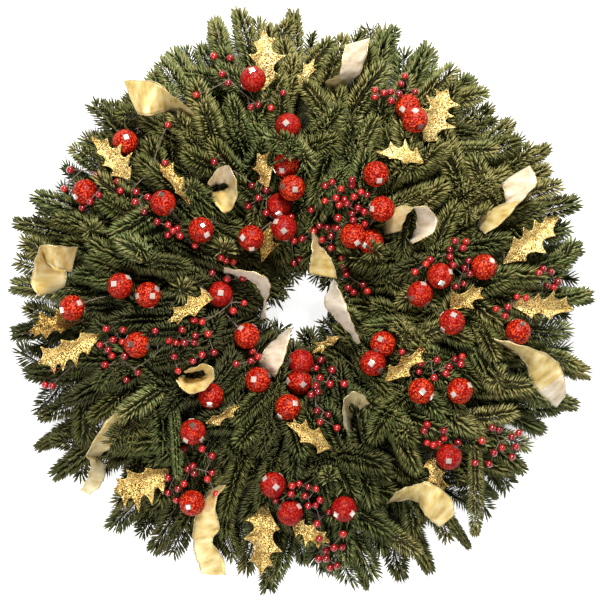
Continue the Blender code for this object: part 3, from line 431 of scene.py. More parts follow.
# The other berries, which hang on the nearest pick's wires
MORE_BERRIES = [
    (230, 58), (222, 74), (228, 83), (258, 105), (252, 107), (271, 108), (214, 162), (165, 163),
    (96, 175), (64, 189), (117, 182), (120, 191), (136, 192), (135, 202), (150, 198), (82, 208),
    (90, 202), (99, 195), (168, 225), (173, 231), (168, 235), (177, 229), (196, 243),
    (252, 186), (261, 178), (266, 190), (248, 206), (266, 213), (289, 217), (302, 239),
    (294, 241), (294, 263), (300, 259), (221, 258), (225, 260), (233, 262), (212, 273),
    (243, 278), (244, 303), (233, 311), (202, 322), (401, 84), (375, 97), (384, 93), (399, 94),
    (415, 92), (391, 101), (332, 182), (341, 189), (352, 180), (352, 185), (361, 192),
    (367, 195), (354, 197), (336, 198), (325, 201), (344, 200), (347, 204), (339, 205),
    (358, 208), (363, 211), (352, 214), (338, 218), (353, 222), (319, 226), (316, 229),
    (327, 228), (332, 228), (337, 228), (363, 226), (331, 236), (331, 248), (342, 258),
    (343, 266), (345, 270), (348, 288), (353, 292), (363, 285), (367, 291), (430, 260),
    (426, 264), (415, 272), (466, 242), (463, 248), (450, 250), (451, 261), (453, 265),
    (469, 261), (465, 268), (470, 274), (464, 284), (456, 287), (539, 273), (551, 272),
    (558, 282), (547, 286), (551, 287), (526, 298), (517, 297), (508, 307), (505, 316),
    (123, 330), (155, 331), (113, 340), (100, 345), (108, 350), (112, 356), (122, 342),
    (126, 355), (138, 373), (126, 380), (54, 369), (45, 385), (52, 386), (170, 341), (174, 357),
    (184, 343), (194, 343), (195, 336), (208, 334), (214, 353), (202, 355), (193, 361),
    (178, 371), (251, 347), (258, 357), (236, 364), (321, 360), (316, 368), (320, 378),
    (330, 384), (344, 384), (316, 386), (318, 392), (311, 395), (328, 415), (320, 422),
    (337, 428), (420, 351), (421, 363), (437, 360), (419, 372), (455, 359), (461, 357),
    (461, 364), (449, 367), (446, 373), (424, 431), (444, 431), (444, 438), (427, 443),
    (433, 445), (440, 443), (458, 443), (499, 430), (519, 433), (482, 441), (494, 453),
    (502, 448), (516, 447), (512, 457), (475, 463), (489, 464), (202, 449), (184, 449),
    (212, 473), (209, 477), (193, 466), (188, 469), (193, 473), (184, 484), (179, 488),
    (168, 493), (176, 500), (216, 494), (292, 486), (299, 484), (316, 489), (291, 494),
    (305, 496), (320, 500), (276, 500), (308, 506), (315, 505), (329, 512), (317, 524),
    (343, 534), (319, 539), (334, 548), (342, 547), (326, 558), (319, 559), (330, 568),
    (337, 566),
]
# How bright the balls are, drawn at random, and how bright their mirror squares are, drawn at
# random as painted reflection
BALL_TONES = (0.1, 0.5, 0.9, 1.0)
MIRROR_PAINTED_REFLECTIONS = (0.0, 0.5, 0.8, 1.0, 1.0)
# Mirror squares that the picture shows on the balls, by the ball's pixel
MIRRORS = {
    (253, 79): [(252, 71)], (288, 126): [(286, 124)], (292, 188): [(295, 190), (283, 187)],
    (284, 228): [(284, 231), (276, 222)], (279, 206): [(279, 214)], (286, 165): [(282, 171)],
    (251, 238): [(243, 238), (252, 249)], (376, 174): [(379, 181)], (382, 209): [(372, 209)],
    (353, 236): [(357, 243)], (371, 242): [(364, 245)], (125, 142): [(127, 138)],
    (85, 192): [(76, 197)], (163, 203): [(162, 195), (172, 212)],
    (415, 120): [(415, 112), (420, 127)], (408, 107): [(402, 110)],
    (201, 230): [(203, 226), (207, 235)], (120, 286): [(115, 284), (129, 277)],
    (148, 295): [(153, 296), (138, 296), (157, 289)], (72, 308): [(63, 310), (80, 303)],
    (137, 345): [(132, 344), (148, 346)], (220, 294): [(221, 293)], (247, 336): [(241, 328)],
    (258, 380): [(254, 379), (270, 375)], (301, 362): [(303, 384), (290, 361)],
    (299, 382): [(303, 384), (288, 381)], (288, 407): [(295, 403), (280, 416)],
    (211, 396): [(210, 404)], (193, 432): [(193, 425), (186, 440), (202, 439)],
    (192, 503): [(189, 506)], (273, 485): [(276, 486), (265, 478)],
    (290, 513): [(280, 507), (299, 506)], (344, 509): [(336, 514), (352, 513)],
    (449, 457): [(448, 460), (455, 447)], (421, 391): [(422, 391), (432, 397)],
    (460, 391): [(453, 394), (469, 385)], (383, 344): [(380, 339), (376, 351)],
    (373, 363): [(371, 363), (380, 370)], (440, 276): [(441, 283), (450, 272)],
    (420, 294): [(411, 298), (427, 304), (423, 284)], (484, 267): [(491, 261)],
    (452, 322): [(453, 315), (442, 330)], (518, 332): [(522, 324), (511, 341)],
}


def spot(px, py, height):
    """The place that a pixel of the picture shows, at a height above the floor."""
    nearer = 1 - (height - VIEW_PLANE) / VIEW_DISTANCE
    x = (px - CENTRE_PX[0]) * PIXEL * nearer
    y = (CENTRE_PX[1] - py) * PIXEL * nearer
    return Vector((x, y, height))


def pixels(places):
    """The pixels that show an array of places."""
    nearer = 1 - (places[:, 2] - VIEW_PLANE) / VIEW_DISTANCE
    return numpy.stack([places[:, 0] / (PIXEL * nearer) + CENTRE_PX[0],
                        CENTRE_PX[1] - places[:, 1] / (PIXEL * nearer)], axis=1)


def around(radius, degrees, height):
    turn = math.radians(degrees)
    return Vector((radius * math.cos(turn), radius * math.sin(turn), height))


def crown(place):
    """Height of the foliage's domed top at a place."""
    across = (Vector((place.x, place.y)).length - CROWN_INNER) / (CROWN_OUTER - CROWN_INNER)
    across = min(max(across, 0.0), 1.0)
    return CROWN_EDGE + CROWN_RISE * max(math.sin(math.pi * across ** 0.75), 0.0) ** 0.7


def inside(polygon, points):
    """Which of an array of pixels lie inside a polygon."""
    found = numpy.zeros(len(points), dtype=bool)
    for (ax, ay), (bx, by) in zip(polygon, polygon[1:] + polygon[:1]):
        if ay == by:
            continue
        between = (ay > points[:, 1]) != (by > points[:, 1])
        crossing = (bx - ax) * (points[:, 1] - ay) / (by - ay) + ax
        found ^= between & (points[:, 0] < crossing)
    return found


CAMERA_PLACE = Vector((0, 0, VIEW_PLANE + VIEW_DISTANCE))
UNDER = Vector((0, 0, 0.012))       # how far under a leaf or a ribbon its stem looks for a shoot


# Light, floor and camera

def set_camera():
    lens = bpy.data.cameras.new("camera")
    lens.lens = SENSOR * VIEW_DISTANCE / (PICTURE * PIXEL)
    lens.sensor_width = SENSOR
    lens.clip_start = 0.1
    lens.clip_end = 20
    camera = bpy.data.objects.new("camera", lens)
    camera.location = CAMERA_PLACE + Vector(((PICTURE / 2 - CENTRE_PX[0]) * PIXEL, 0, 0))
    bpy.context.scene.collection.objects.link(camera)
    bpy.context.scene.camera = camera


def set_lamp(name, place, size, power, colour):
    """A square lamp that looks at the middle of the wreath."""
    lamp = bpy.data.lights.new(name, "AREA")
    lamp.shape = "SQUARE"
    lamp.size = size
    lamp.energy = power
    lamp.color = colour
    holder = bpy.data.objects.new(name, lamp)
    holder.location = place
    aim = Vector((0, 0, 0.05)) - Vector(place)
    holder.rotation_euler = aim.to_track_quat("-Z", "Y").to_euler()
    bpy.context.scene.collection.objects.link(holder)


def set_lights():
    for name, lamp in LAMPS.items():
        set_lamp(name, *lamp)
    scene = bpy.context.scene
    world = bpy.data.worlds.new("studio")
    world.use_nodes = True
    background = world.node_tree.nodes["Background"]
    background.inputs["Color"].default_value = (1, 1, 1, 1)
    background.inputs["Strength"].default_value = SURROUND_GLOW
    scene.world = world
    scene.view_settings.view_transform = "Standard"
    scene.view_settings.exposure = 0.0


# Finishes

def sums(operation, reflected=False):
    """What an operator does to a value: it adds a Math node to the value's finish."""
    def method(value, other):
        first, second = (other, value) if reflected else (value, other)
        return value.finish.add("Math", {"operation": operation}, {0: first, 1: second})
    return method


class Value:
    """What one node of a finish gives, which takes part in sums as a number does."""

    def __init__(self, finish, socket):
        self.finish = finish
        self.socket = socket

    __add__ = sums("ADD")
    __radd__ = sums("ADD", reflected=True)
    __sub__ = sums("SUBTRACT")
    __rsub__ = sums("SUBTRACT", reflected=True)
    __mul__ = sums("MULTIPLY")
    __rmul__ = sums("MULTIPLY", reflected=True)
    __pow__ = sums("POWER")


class Finish:
    """A material and the nodes that give it colour, gloss and grain."""

    def __init__(self, name, fixed):
        self.material = bpy.data.materials.new(name)
        self.material.use_nodes = True
        self.tree = self.material.node_tree
        self.shader = self.tree.nodes["Principled BSDF"]
        for socket, value in fixed.items():
            self.shader.inputs[socket].default_value = value

    def add(self, kind, settings=None, inputs=None, output=0):
        """A new node, set and connected, as the value of one of its outputs."""
        node = self.tree.nodes.new("ShaderNode" + kind)
        for setting, value in (settings or {}).items():
            if setting == "stops":
                ramp = node.color_ramp
                while len(ramp.elements) < len(value):
                    ramp.elements.new(0.5)
                for element, (place, colour) in zip(ramp.elements, value):
                    element.position = place
                    element.color = (*colour, 1)
            else:
                setattr(node, setting, value)
        for socket, value in (inputs or {}).items():
            self.feed(node.inputs[socket], value)
        return Value(self, node.outputs[output])

    def feed(self, socket, value):
        if isinstance(value, Value):
            self.tree.links.new(value.socket, socket)
        else:
            socket.default_value = value

    def set(self, socket, value):
        self.feed(self.shader.inputs[socket], value)

    def place(self):
        return self.add("TexCoord", output="Object")

    def attribute(self, name):
        return self.add("Attribute", {"attribute_name": name}, output="Fac")

    def noise(self, scale, detail, vector=None):
        vector = vector or self.place()
        return self.add("TexNoise", {}, {"Vector": vector, "Scale": scale, "Detail": detail},
                        "Fac")

    def stretched(self, scales, source):
        return self.add("Mapping", {}, {"Vector": source, "Scale": scales})

    def blend(self, factor, first, second):
        return self.add("Mix", {"data_type": "RGBA"}, {0: factor, 6: first, 7: second}, 2)

    def ramp(self, factor, *stops):
        return self.add("ValToRGB", {"stops": stops}, {"Fac": factor})

    def clamp(self, value):
        return self.add("Math", {"operation": "MULTIPLY", "use_clamp": True}, {0: value, 1: 1.0})

    def bump(self, height, strength, distance):
        self.set("Normal", self.add("Bump", {}, {"Height": height, "Strength": strength,
                                                 "Distance": distance}, "Normal"))


def needle_finish():
    fir = Finish("fir_needle", {"Specular IOR Level": 0.28})
    tone = fir.attribute("tone")
    green, cool, brown = (fir.ramp(tone, *zip(NEEDLE_STOPS, shades)) for shades in NEEDLE_SHADES)
    patches = fir.noise(11.0, 1.0)
    green = fir.blend(fir.clamp((patches - 0.46) * 6.0), green, cool)
    dry = fir.noise(150.0, 1.0)
    green = fir.blend(fir.clamp((dry - 0.52) * 5.0), green, brown)
    tips = fir.clamp(fir.attribute("along") ** 2.0 * 0.30)
    pale = fir.blend(tips, green, (0.330, 0.310, 0.110, 1))
    flecks = fir.noise(900.0, 2.0)
    fir.set("Base Color", fir.blend(fir.clamp(flecks * 0.30), pale, (0.045, 0.060, 0.022, 1)))
    fir.set("Roughness", 0.34 + flecks * 0.25)
    fir.bump(flecks, 0.25, 0.0003)
    return fir.material


def grained_finish(name, fixed, grain, stops, gloss, relief, toned=False, wash=None):
    """A finish whose gloss and relief follow one noise, and its colour that or the copy's tone."""
    finish = Finish(name, fixed)
    grains = finish.noise(*grain)
    colour = finish.ramp(finish.attribute("tone") if toned else grains, *stops)
    if wash:
        scale, detail, strength, over = wash
        patches = finish.clamp(finish.noise(scale, detail) * strength)
        colour = finish.blend(patches, colour, (*over, 1))
    finish.set("Base Color", colour)
    finish.set("Roughness", gloss[0] + grains * gloss[1])
    finish.bump(grains, *relief)
    return finish.material


def ring_finish():
    paint = Finish("ring_paint", {"Coat Weight": 0.2, "Coat Roughness": 0.25})
    wear = paint.noise(140.0, 4.0)
    chips = paint.clamp((wear - 0.62) * 14.0)
    paint.set("Base Color", paint.blend(chips, (0.020, 0.060, 0.028, 1),
                                        (0.110, 0.075, 0.050, 1)))
    paint.set("Metallic", 0.1 + chips * 0.5)
    paint.set("Roughness", 0.38 + chips * 0.3)
    paint.bump(wear, 0.2, 0.0004)
    return paint.material


def bead_finish():
    beads = Finish("red_bead", {"Specular IOR Level": 0.15})
    place = beads.place()
    cells = beads.add("TexVoronoi", {}, {"Vector": place, "Scale": 520.0}, "Distance")
    shades = beads.noise(500.0, 1.0, place)
    red = beads.ramp(shades, (0.36, (0.130, 0.001, 0.002)), (0.50, (0.350, 0.004, 0.003)),
                     (0.66, (0.950, 0.110, 0.024)))
    deep = beads.clamp((1.0 - beads.attribute("tone")) * 0.6)
    red = beads.blend(deep, red, (0.260, 0.002, 0.008, 1))
    # painted shade in the gaps between the beads
    shaded_gaps = beads.clamp((cells - 0.50) * 2.0)
    beads.set("Base Color", beads.blend(shaded_gaps, red, (0.200, 0.001, 0.001, 1)))
    beads.set("Roughness", 0.22 + shades * 0.24)
    beads.bump(1.0 - cells, 0.55, 0.0007)
    return beads.material


def glitter_finish():
    gold = Finish("gold_glitter_leaf", {"Specular IOR Level": 0.6})
    place = gold.place()
    flakes = gold.add("TexVoronoi", {}, {"Vector": place, "Scale": 1150.0}, "Color")
    pick = gold.add("SeparateColor", {}, {0: flakes}, 0)
    patches = gold.noise(70.0, 3.0, place)
    # the leaf's tone adds its painted light or shade to the glitter
    shade = gold.clamp(pick * 0.75 + patches * 0.50 - 0.12 + gold.attribute("tone"))
    gold.set("Base Color", gold.ramp(shade, (0.10, (0.070, 0.032, 0.005)),
                                     (0.35, (0.250, 0.135, 0.020)),
                                     (0.62, (0.600, 0.375, 0.078)),
                                     (0.90, (1.000, 0.850, 0.400))))
    gold.set("Metallic", 0.55)
    gold.set("Roughness", 0.24 + pick * 0.30)
    lean = gold.add("VectorMath", {"operation": "SUBTRACT"}, {0: flakes, 1: (0.5, 0.5, 0.5)})
    lean = gold.add("VectorMath", {"operation": "SCALE"}, {0: lean, "Scale": 0.75})
    level = gold.add("NewGeometry", output="Normal")
    level = gold.add("VectorMath", {"operation": "ADD"}, {0: level, 1: lean})
    gold.set("Normal", gold.add("VectorMath", {"operation": "NORMALIZE"}, {0: level}))
    return gold.material


def satin_finish(name, dark, mid, light, metallic, roughness):
    satin = Finish(name, {"Sheen Weight": 0.25, "Sheen Roughness": 0.4,
                          "Specular IOR Level": 0.5})
    weave = satin.add("UVMap", {"uv_map": "weave"})
    across = satin.add("SeparateXYZ", {}, {0: weave}, 0)
    threads = satin.noise(1.0, 2.0, satin.stretched((2600.0, 90.0, 1.0), weave))
    # painted sheen: broad streaks along the ribbon, paler and darker, stand in for the light on
    # its soft folds
    painted_sheen_streaks = satin.noise(1.0, 2.0, satin.stretched((110.0, 45.0, 1.0), weave))
    ribs = satin.add("Math", {"operation": "SINE"}, {0: across * 7800.0})
    # the ribbon's tone adds painted light to its satin
    shade = satin.clamp(painted_sheen_streaks * 0.78 + threads * 0.22 + satin.attribute("tone"))
    satin.set("Base Color", satin.ramp(shade, (0.34, dark), (0.48, mid), (0.66, light)))
    satin.set("Metallic", metallic)
    satin.set("Roughness", roughness + threads * 0.16)
    satin.bump(ribs * 0.35 + threads, 0.28, 0.0002)
    return satin.material


def floor_finish():
    floor = Finish("white_paper", {"Roughness": 0.8, "Emission Strength": 0.85})
    fibres = floor.noise(900.0, 4.0)
    floor.set("Base Color", floor.ramp(fibres, (0.3, (0.90, 0.90, 0.90)),
                                       (0.7, (0.94, 0.94, 0.94))))
    away = floor.add("VectorMath", {"operation": "LENGTH"}, {0: floor.place()}, "Value")
    # painted light and shadow: the floor glows though it is no lamp, except in a ring under the
    # wreath, between its hole and its outer edge, left dark as painted shadow
    glow_outside_painted_shadow = floor.clamp(floor.clamp((away - 0.250) * 30.0) + floor.clamp((0.060 - away) * 60.0))
    floor.set("Emission Color", floor.blend(glow_outside_painted_shadow, (0, 0, 0, 1), (1, 1, 1, 1)))
    floor.bump(fibres, 0.05, 0.0002)
    return floor.material


# Modelling with Blender's own tools

def deselect():
    if bpy.context.object and bpy.context.object.mode != "OBJECT":
        bpy.ops.object.mode_set(mode="OBJECT")
    bpy.ops.object.select_all(action="DESELECT")


def activate(piece):
    deselect()
    piece.select_set(True)
    bpy.context.view_layer.objects.active = piece


def begin_edit():
    """Opens the newest primitive in edit mode, all selected, with its transform applied."""
    bpy.ops.object.transform_apply(location=True, rotation=True, scale=True)
    bpy.ops.object.mode_set(mode="EDIT")
    bpy.ops.mesh.select_all(action="SELECT")


def choose(kind, wanted):
    """Selects the vertices or faces of the shape in edit mode that answer a test."""
    bpy.ops.mesh.select_mode(type="VERT" if kind == "verts" else "FACE")
    bpy.ops.mesh.select_all(action="DESELECT")
    shape = bpy.context.object
    mesh = bmesh.from_edit_mesh(shape.data)
    for item in getattr(mesh, kind):
        item.select_set(wanted(item))
    mesh.select_flush_mode()
    bmesh.update_edit_mesh(shape.data)


class Pattern:
    """The shape in edit mode, taken out as vertices and faces that are copied many times."""

    def __init__(self):
        bpy.ops.object.mode_set(mode="OBJECT")
        shape = bpy.context.object
        self.places = numpy.array([vert.co for vert in shape.data.vertices])
        self.faces = [tuple(face.vertices) for face in shape.data.polygons]
        bpy.data.objects.remove(shape, do_unlink=True)

    def copied_faces(self, copies):
        """The faces of a number of copies, whose vertices follow each other."""
        count = len(self.places)
        return [tuple(copy * count + corner for corner in face)
                for copy in range(copies) for face in self.faces]


def model_needle():
    """A needle 1 long and 1 wide: three-sided, and widest near its blunt tip."""
    deselect()
    bpy.ops.mesh.primitive_cone_add(vertices=3, radius1=0.5, radius2=0, depth=0.32,
                                    end_fill_type="NOTHING", location=(0, 0, 0.84))
    begin_edit()
    bpy.ops.mesh.primitive_cone_add(vertices=3, radius1=0, radius2=0.5, depth=0.68,
                                    end_fill_type="NOTHING", location=(0, 0, 0.34))
    bpy.ops.mesh.select_all(action="SELECT")
    bpy.ops.mesh.remove_doubles(threshold=0.001)
    bpy.ops.mesh.normals_make_consistent(inside=False)
    bpy.ops.transform.resize(value=(1.15, 1.15, 1))
    return Pattern()


def model_plain_needle():
    """The plain pointed needle of the shoots that lie under the others."""
    deselect()
    bpy.ops.mesh.primitive_cone_add(vertices=3, radius1=0.5, radius2=0, depth=1,
                                    location=(0, 0, 0.5))
    begin_edit()
    bpy.ops.transform.resize(value=(1.25, 1.25, 1))
    return Pattern()


def model_bead_ball():
    """A ball with half of its faces raised as beads."""
    deselect()
    bpy.ops.mesh.primitive_ico_sphere_add(subdivisions=4, radius=1)
    begin_edit()
    choose("faces", lambda face: face.index % 2 == 0)
    bpy.ops.mesh.poke(offset=0.035)
    return Pattern()


def model_mirror():
    """A mirror square 1 wide: a thin plate with a ground edge round its top."""
    deselect()
    bpy.ops.mesh.primitive_cube_add(size=1)
    begin_edit()
    bpy.ops.transform.resize(value=(1, 1, 0.30))
    choose("faces", lambda face: face.normal.z > 0.9)
    bpy.ops.mesh.inset(thickness=0.20, depth=0.09)
    choose("faces", lambda face: face.normal.z < -0.9)
    bpy.ops.transform.resize(value=(0.9, 0.9, 1))
    return Pattern()


def model_berry():
    """A round berry with a small tip opposite to its wire."""
    deselect()
    bpy.ops.mesh.primitive_ico_sphere_add(subdivisions=2, radius=1)
    begin_edit()
    choose("verts", lambda vert: vert.co.z > 0.95)
    bpy.ops.mesh.bevel(offset=0.16, affect="VERTICES")
    choose("faces", lambda face: face.calc_center_median().z > 0.97)
    bpy.ops.mesh.inset(thickness=0.05)
    bpy.ops.transform.translate(value=(0, 0, 0.12))
    return Pattern()


def model_bud():
    """The pointed bud that closes the end of a shoot."""
    deselect()
    bpy.ops.mesh.primitive_cone_add(vertices=5, radius1=0.7, radius2=0, depth=1,
                                    location=(0, 0, 0.5))
    begin_edit()
    bpy.ops.mesh.bisect(plane_co=(0, 0, 0.45), plane_no=(0, 0, 1))
    choose("verts", lambda vert: abs(vert.co.z - 0.45) < 0.01)
    bpy.ops.transform.resize(value=(2.0, 2.0, 1))
    return Pattern()


def new_piece(name, places, faces, finishes, smooth=True):
    """A piece made from lists of vertices and faces."""
    mesh = bpy.data.meshes.new(name)
    mesh.from_pydata(places, [], faces)
    for finish in finishes:
        mesh.materials.append(finish)
    if smooth:
        mesh.shade_smooth()
    piece = bpy.data.objects.new(name, mesh)
    bpy.context.scene.collection.objects.link(piece)
    return piece


def add_attribute(piece, name, values):
    layer = piece.data.attributes.new(name, "FLOAT", "POINT")
    layer.data.foreach_set("value", numpy.asarray(values, dtype=numpy.float32))


def stamp(name, pattern, turns, finish, tones=None, smooth=True):
    """One piece of many copies of a pattern, each put in place by a 4 by 4 matrix."""
    turns = [numpy.array(turn) for turn in turns]
    places = numpy.concatenate([pattern.places @ turn[:3, :3].T + turn[:3, 3] for turn in turns])
    piece = new_piece(name, places, pattern.copied_faces(len(turns)), [finish], smooth)
    if tones is not None:
        add_attribute(piece, "tone", numpy.repeat(tones, len(pattern.places)))
    return piece


def tubes(name, lines, finish, sides=1):
    """Round wires, each a list of (place, radius), as one piece."""
    curve = bpy.data.curves.new(name, "CURVE")
    curve.dimensions = "3D"
    curve.bevel_depth = 1.0
    curve.bevel_resolution = sides
    curve.use_fill_caps = True
    for line in lines:
        spline = curve.splines.new("POLY")
        spline.points.add(len(line) - 1)
        for point, (place, radius) in zip(spline.points, line):
            point.co = (*place, 1)
            point.radius = radius
    piece = bpy.data.objects.new(name, curve)
    bpy.context.scene.collection.objects.link(piece)
    activate(piece)
    bpy.ops.object.convert(target="MESH")
    piece = bpy.context.object
    piece.data.materials.clear()
    piece.data.materials.append(finish)
    piece.data.shade_smooth()
    return piece


def hand_over(piece, slot, *nodes):
    """Puts a finished piece on the wreath, in place of the CAD nodes that it details."""
    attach(piece, "root")
    if nodes:
        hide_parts(*nodes)


def packed_surface(node):
    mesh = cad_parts[node].data
    return BVHTree.FromPolygons([vert.co for vert in mesh.vertices],
                                [tuple(face.vertices) for face in mesh.polygons])


def as_packed(node, tries):
    """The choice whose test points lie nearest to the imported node's surface."""
    surface = packed_surface(node)
    return min(tries, key=lambda choice: sum(surface.find_nearest(point)[3]
                                             for point in choice[1]) / len(choice[1]))[0]


def packed_lift(node, points_at):
    """How far the CAD moved a ribbon or leaf up or down from its first height."""
    return as_packed(node, [(lift, points_at(lift)) for lift in LIFTS])


class Surfaces:
    """The ornaments' surfaces, which needles and shoots keep clear of."""

    def __init__(self):
        self.places = []
        self.faces = []
        self.balls = []

    def add(self, places, faces):
        start = len(self.places)
        self.places += [Vector(place) for place in places]
        self.faces += [tuple(start + corner for corner in face) for face in faces]

    def add_round(self, centre, radius):
        """Adds the surface of a ball or berry, in the form of the berry's pattern."""
        pattern = patterns["berry"]
        self.add(pattern.places * radius + numpy.array(centre), pattern.faces)

    def close(self):
        self.tree = BVHTree.FromPolygons(self.places, self.faces)
        self.centres = numpy.array(self.balls)

    def blocks(self, place, room):
        """Whether a place is inside a ball or nearer than room to any ornament."""
        if (((self.centres - numpy.array(place)) ** 2).sum(1) < (BALL + room) ** 2).any():
            return True
        return self.tree.find_nearest(place, room)[0] is not None

    def crossed(self, start, way, length):
        return self.tree.ray_cast(start, way, length)[0] is not None

    def covered(self, place):
        """Whether an ornament lies behind a place, as the camera sees it."""
        return self.crossed(place, (place - CAMERA_PLACE).normalized(), COVER_DEPTH)


ornaments = Surfaces()


# Ribbons

def ribbon_edges(stations, lift):
    """The two edges of a ribbon of constant width that the pixels show slanting."""
    edges = []
    for ax, ay, bx, by, height in stations:
        level = height / 1000
        shown = (spot(ax, ay, level) - spot(bx, by, level)).length
        shown = min(shown, RIBBON_WIDTH)
        drop = math.sqrt(RIBBON_WIDTH ** 2 - shown ** 2) / 2
        rise = Vector((0, 0, lift))
        edges.append((spot(ax, ay, level + drop) + rise, spot(bx, by, level - drop) + rise))
    return edges


def curve_through(points, steps):
    """A smooth line through points, with a number of steps between each two."""
    ends = [points[0] * 2 - points[1]] + list(points) + [points[-1] * 2 - points[-2]]
    line = []
    for a, b, c, d in zip(ends, ends[1:], ends[2:], ends[3:]):
        for step in range(steps):
            t = step / steps
            line.append(((b * 2) + (c - a) * t + (a * 2 - b * 5 + c * 4 - d) * t ** 2
                         + (b * 3 - a - c * 3 + d) * t ** 3) / 2)
    line.append(points[-1].copy())
    return line


def ribbon_rows(edges, draw):
    """Rows of places across a ribbon, with a soft arch and a slight wave at its edges."""
    first, second = (curve_through(edge, RIBBON_STEPS) for edge in zip(*edges))
    middle = [(a + b) / 2 for a, b in zip(first, second)]
    phase = draw.uniform(0, 6)
    rows = []
    for index, (a, b) in enumerate(zip(first, second)):
        ahead = middle[min(index + 1, len(middle) - 1)] - middle[max(index - 1, 0)]
        across = (b - a).normalized()
        up = across.cross(ahead).normalized()
        centre = middle[index]
        row = []
        for column in range(COLUMNS + 1):
            side = column / COLUMNS * 2 - 1
            arch = RIBBON_ARCH * (1 - side * side)
            wave = RIBBON_WAVE * math.sin(index * 0.9 + phase + side * 1.4) * side * side
            row.append(centre + across * side * RIBBON_WIDTH / 2 + up * (arch + wave))
        rows.append(row)
    return rows, middle


def lengths_along(rows):
    """How far each row is from the first, along the sheet's middle line."""
    middle = len(rows[0]) // 2
    gone = [0.0]
    for upper, lower in zip(rows, rows[1:]):
        gone.append(gone[-1] + (lower[middle] - upper[middle]).length)
    return gone


def sheet_mesh(name, rows, finishes, thickness, tone, over=None):
    """A grid of rows with a weave map, given its thickness, its back in the next finish."""
    columns = len(rows[0])
    places = [place for row in rows for place in row]
    faces = []
    for index in range(len(rows) - 1):
        for column in range(columns - 1):
            corner = index * columns + column
            faces.append((corner, corner + 1, corner + columns + 1, corner + columns))
    piece = new_piece(name, places, faces, finishes)
    gone = lengths_along(rows)
    weave = piece.data.uv_layers.new(name="weave")
    for loop in piece.data.loops:
        row, column = divmod(loop.vertex_index, columns)
        weave.data[loop.index].uv = (gone[row], column / (columns - 1) * RIBBON_WIDTH)
    ornaments.add(places, faces)
    if over:
        for face in piece.data.polygons:
            part = (face.index // (columns - 1)) / (len(rows) - 1)
            face.material_index = 1 if over[0] <= part < over[1] else 0
    wall = piece.modifiers.new("wall", "SOLIDIFY")
    wall.thickness = thickness
    wall.offset = 0
    wall.material_offset = 1 if len(finishes) > 1 else 0
    activate(piece)
    bpy.ops.object.modifier_apply(modifier="wall")
    add_attribute(piece, "tone", [tone] * len(piece.data.vertices))
    return piece


def make_ribbons():
    """The ribbons with their wired edges; gives each one's name, rows and middle line."""
    made = []
    for name, stations in RIBBONS.items():
        draw = random.Random(name)
        lift = packed_lift(name, lambda lift: [place for edge in ribbon_edges(stations, lift)
                                               for place in edge])
        rows, middle = ribbon_rows(ribbon_edges(stations, lift), draw)
        sides = ("satin_back", "satin") if name in TURNED else ("satin", "satin_back")
        piece = sheet_mesh(name + "_satin", rows, [finishes[side] for side in sides + sides[:1]],
                           RIBBON_THICKNESS, RIBBON_PAINTED_LIGHT.get(name, 0.0), OVER.get(name))
        lines = [[(row[side], EDGE_WIRE) for row in rows] for side in (0, -1)]
        hem = tubes(name + "_edge_wires", lines, finishes["thread"])
        hand_over(piece, "champagne_satin", name)
        hand_over(hem, None, name)
        made.append((name, rows, middle))
    return made


# Holly leaves

def leaf_frame(leaf, lift):
    """A leaf's stalk end, its length and its directions ahead, sideways and up."""
    bx, by, tx, ty = leaf[:4]
    middle = spot((bx + tx) / 2, (by + ty) / 2, VIEW_PLANE)
    level = crown(middle) + 0.002
    rise = Vector((0, 0, lift))
    base = spot(bx, by, level - 0.006) + rise
    tip = spot(tx, ty, level - 0.002) + rise
    ahead = (tip - base).normalized()
    up = Vector((0, 0, 1))
    up = (up - ahead * up.dot(ahead)).normalized()
    up = Matrix.Rotation(math.radians(leaf[6]), 3, ahead) @ up
    return base, (tip - base).length, ahead, up.cross(ahead), up


def leaf_rib(place, part):
    """A point of the arched rib of a leaf, at a part of its length."""
    base, length, ahead, _, up = place
    return base + ahead * length * part + up * (LEAF_ARCH * length * math.sin(math.pi * part))


def leaf_spines(leaf, base, length, ahead, side):
    """Places of the spines on each side: how far along the leaf, and how far out."""
    width, pairs = leaf[4:6]
    level = Vector((ahead.x, ahead.y, 0)).normalized()
    outward = Vector((side.x, side.y, 0)).normalized()
    seen = max(math.hypot(side.x, side.y), 0.6)
    spines = {1: [], -1: []}
    for px, py in SPINES.get(leaf[:2], []):
        away = spot(px, py, base.z) - base
        part = away.dot(level) / length
        out = away.dot(outward) / seen
        spines[1 if out > 0 else -1].append((min(max(part, 0.05), 0.95), abs(out)))
    half = width * PIXEL / 2
    for sign in (1, -1):
        if len(spines[sign]) < 2:
            spines[sign] = []
            for index in range(pairs):
                part = (index + 0.6) / (pairs + 0.2)
                spines[sign].append((part, half * math.sin(math.pi * (part * 0.85 + 0.08)) ** 0.6))
        spines[sign].sort()
    return spines


def leaf_edge(knots, part):
    """How far out a leaf's edge is: full at each spine, drawn in between them."""
    for (start, low), (end, high) in zip(knots, knots[1:]):
        if part <= end:
            across = (part - start) / max(end - start, 1e-6)
            line = low + (high - low) * across
            dip = 1 - abs(2 * across - 1) ** 2.4
            hollow = 0.50 if low > 0.002 and high > 0.002 else 0.30
            return line * (1 - hollow * dip), 1 - dip
    return 0.0006, 0.0


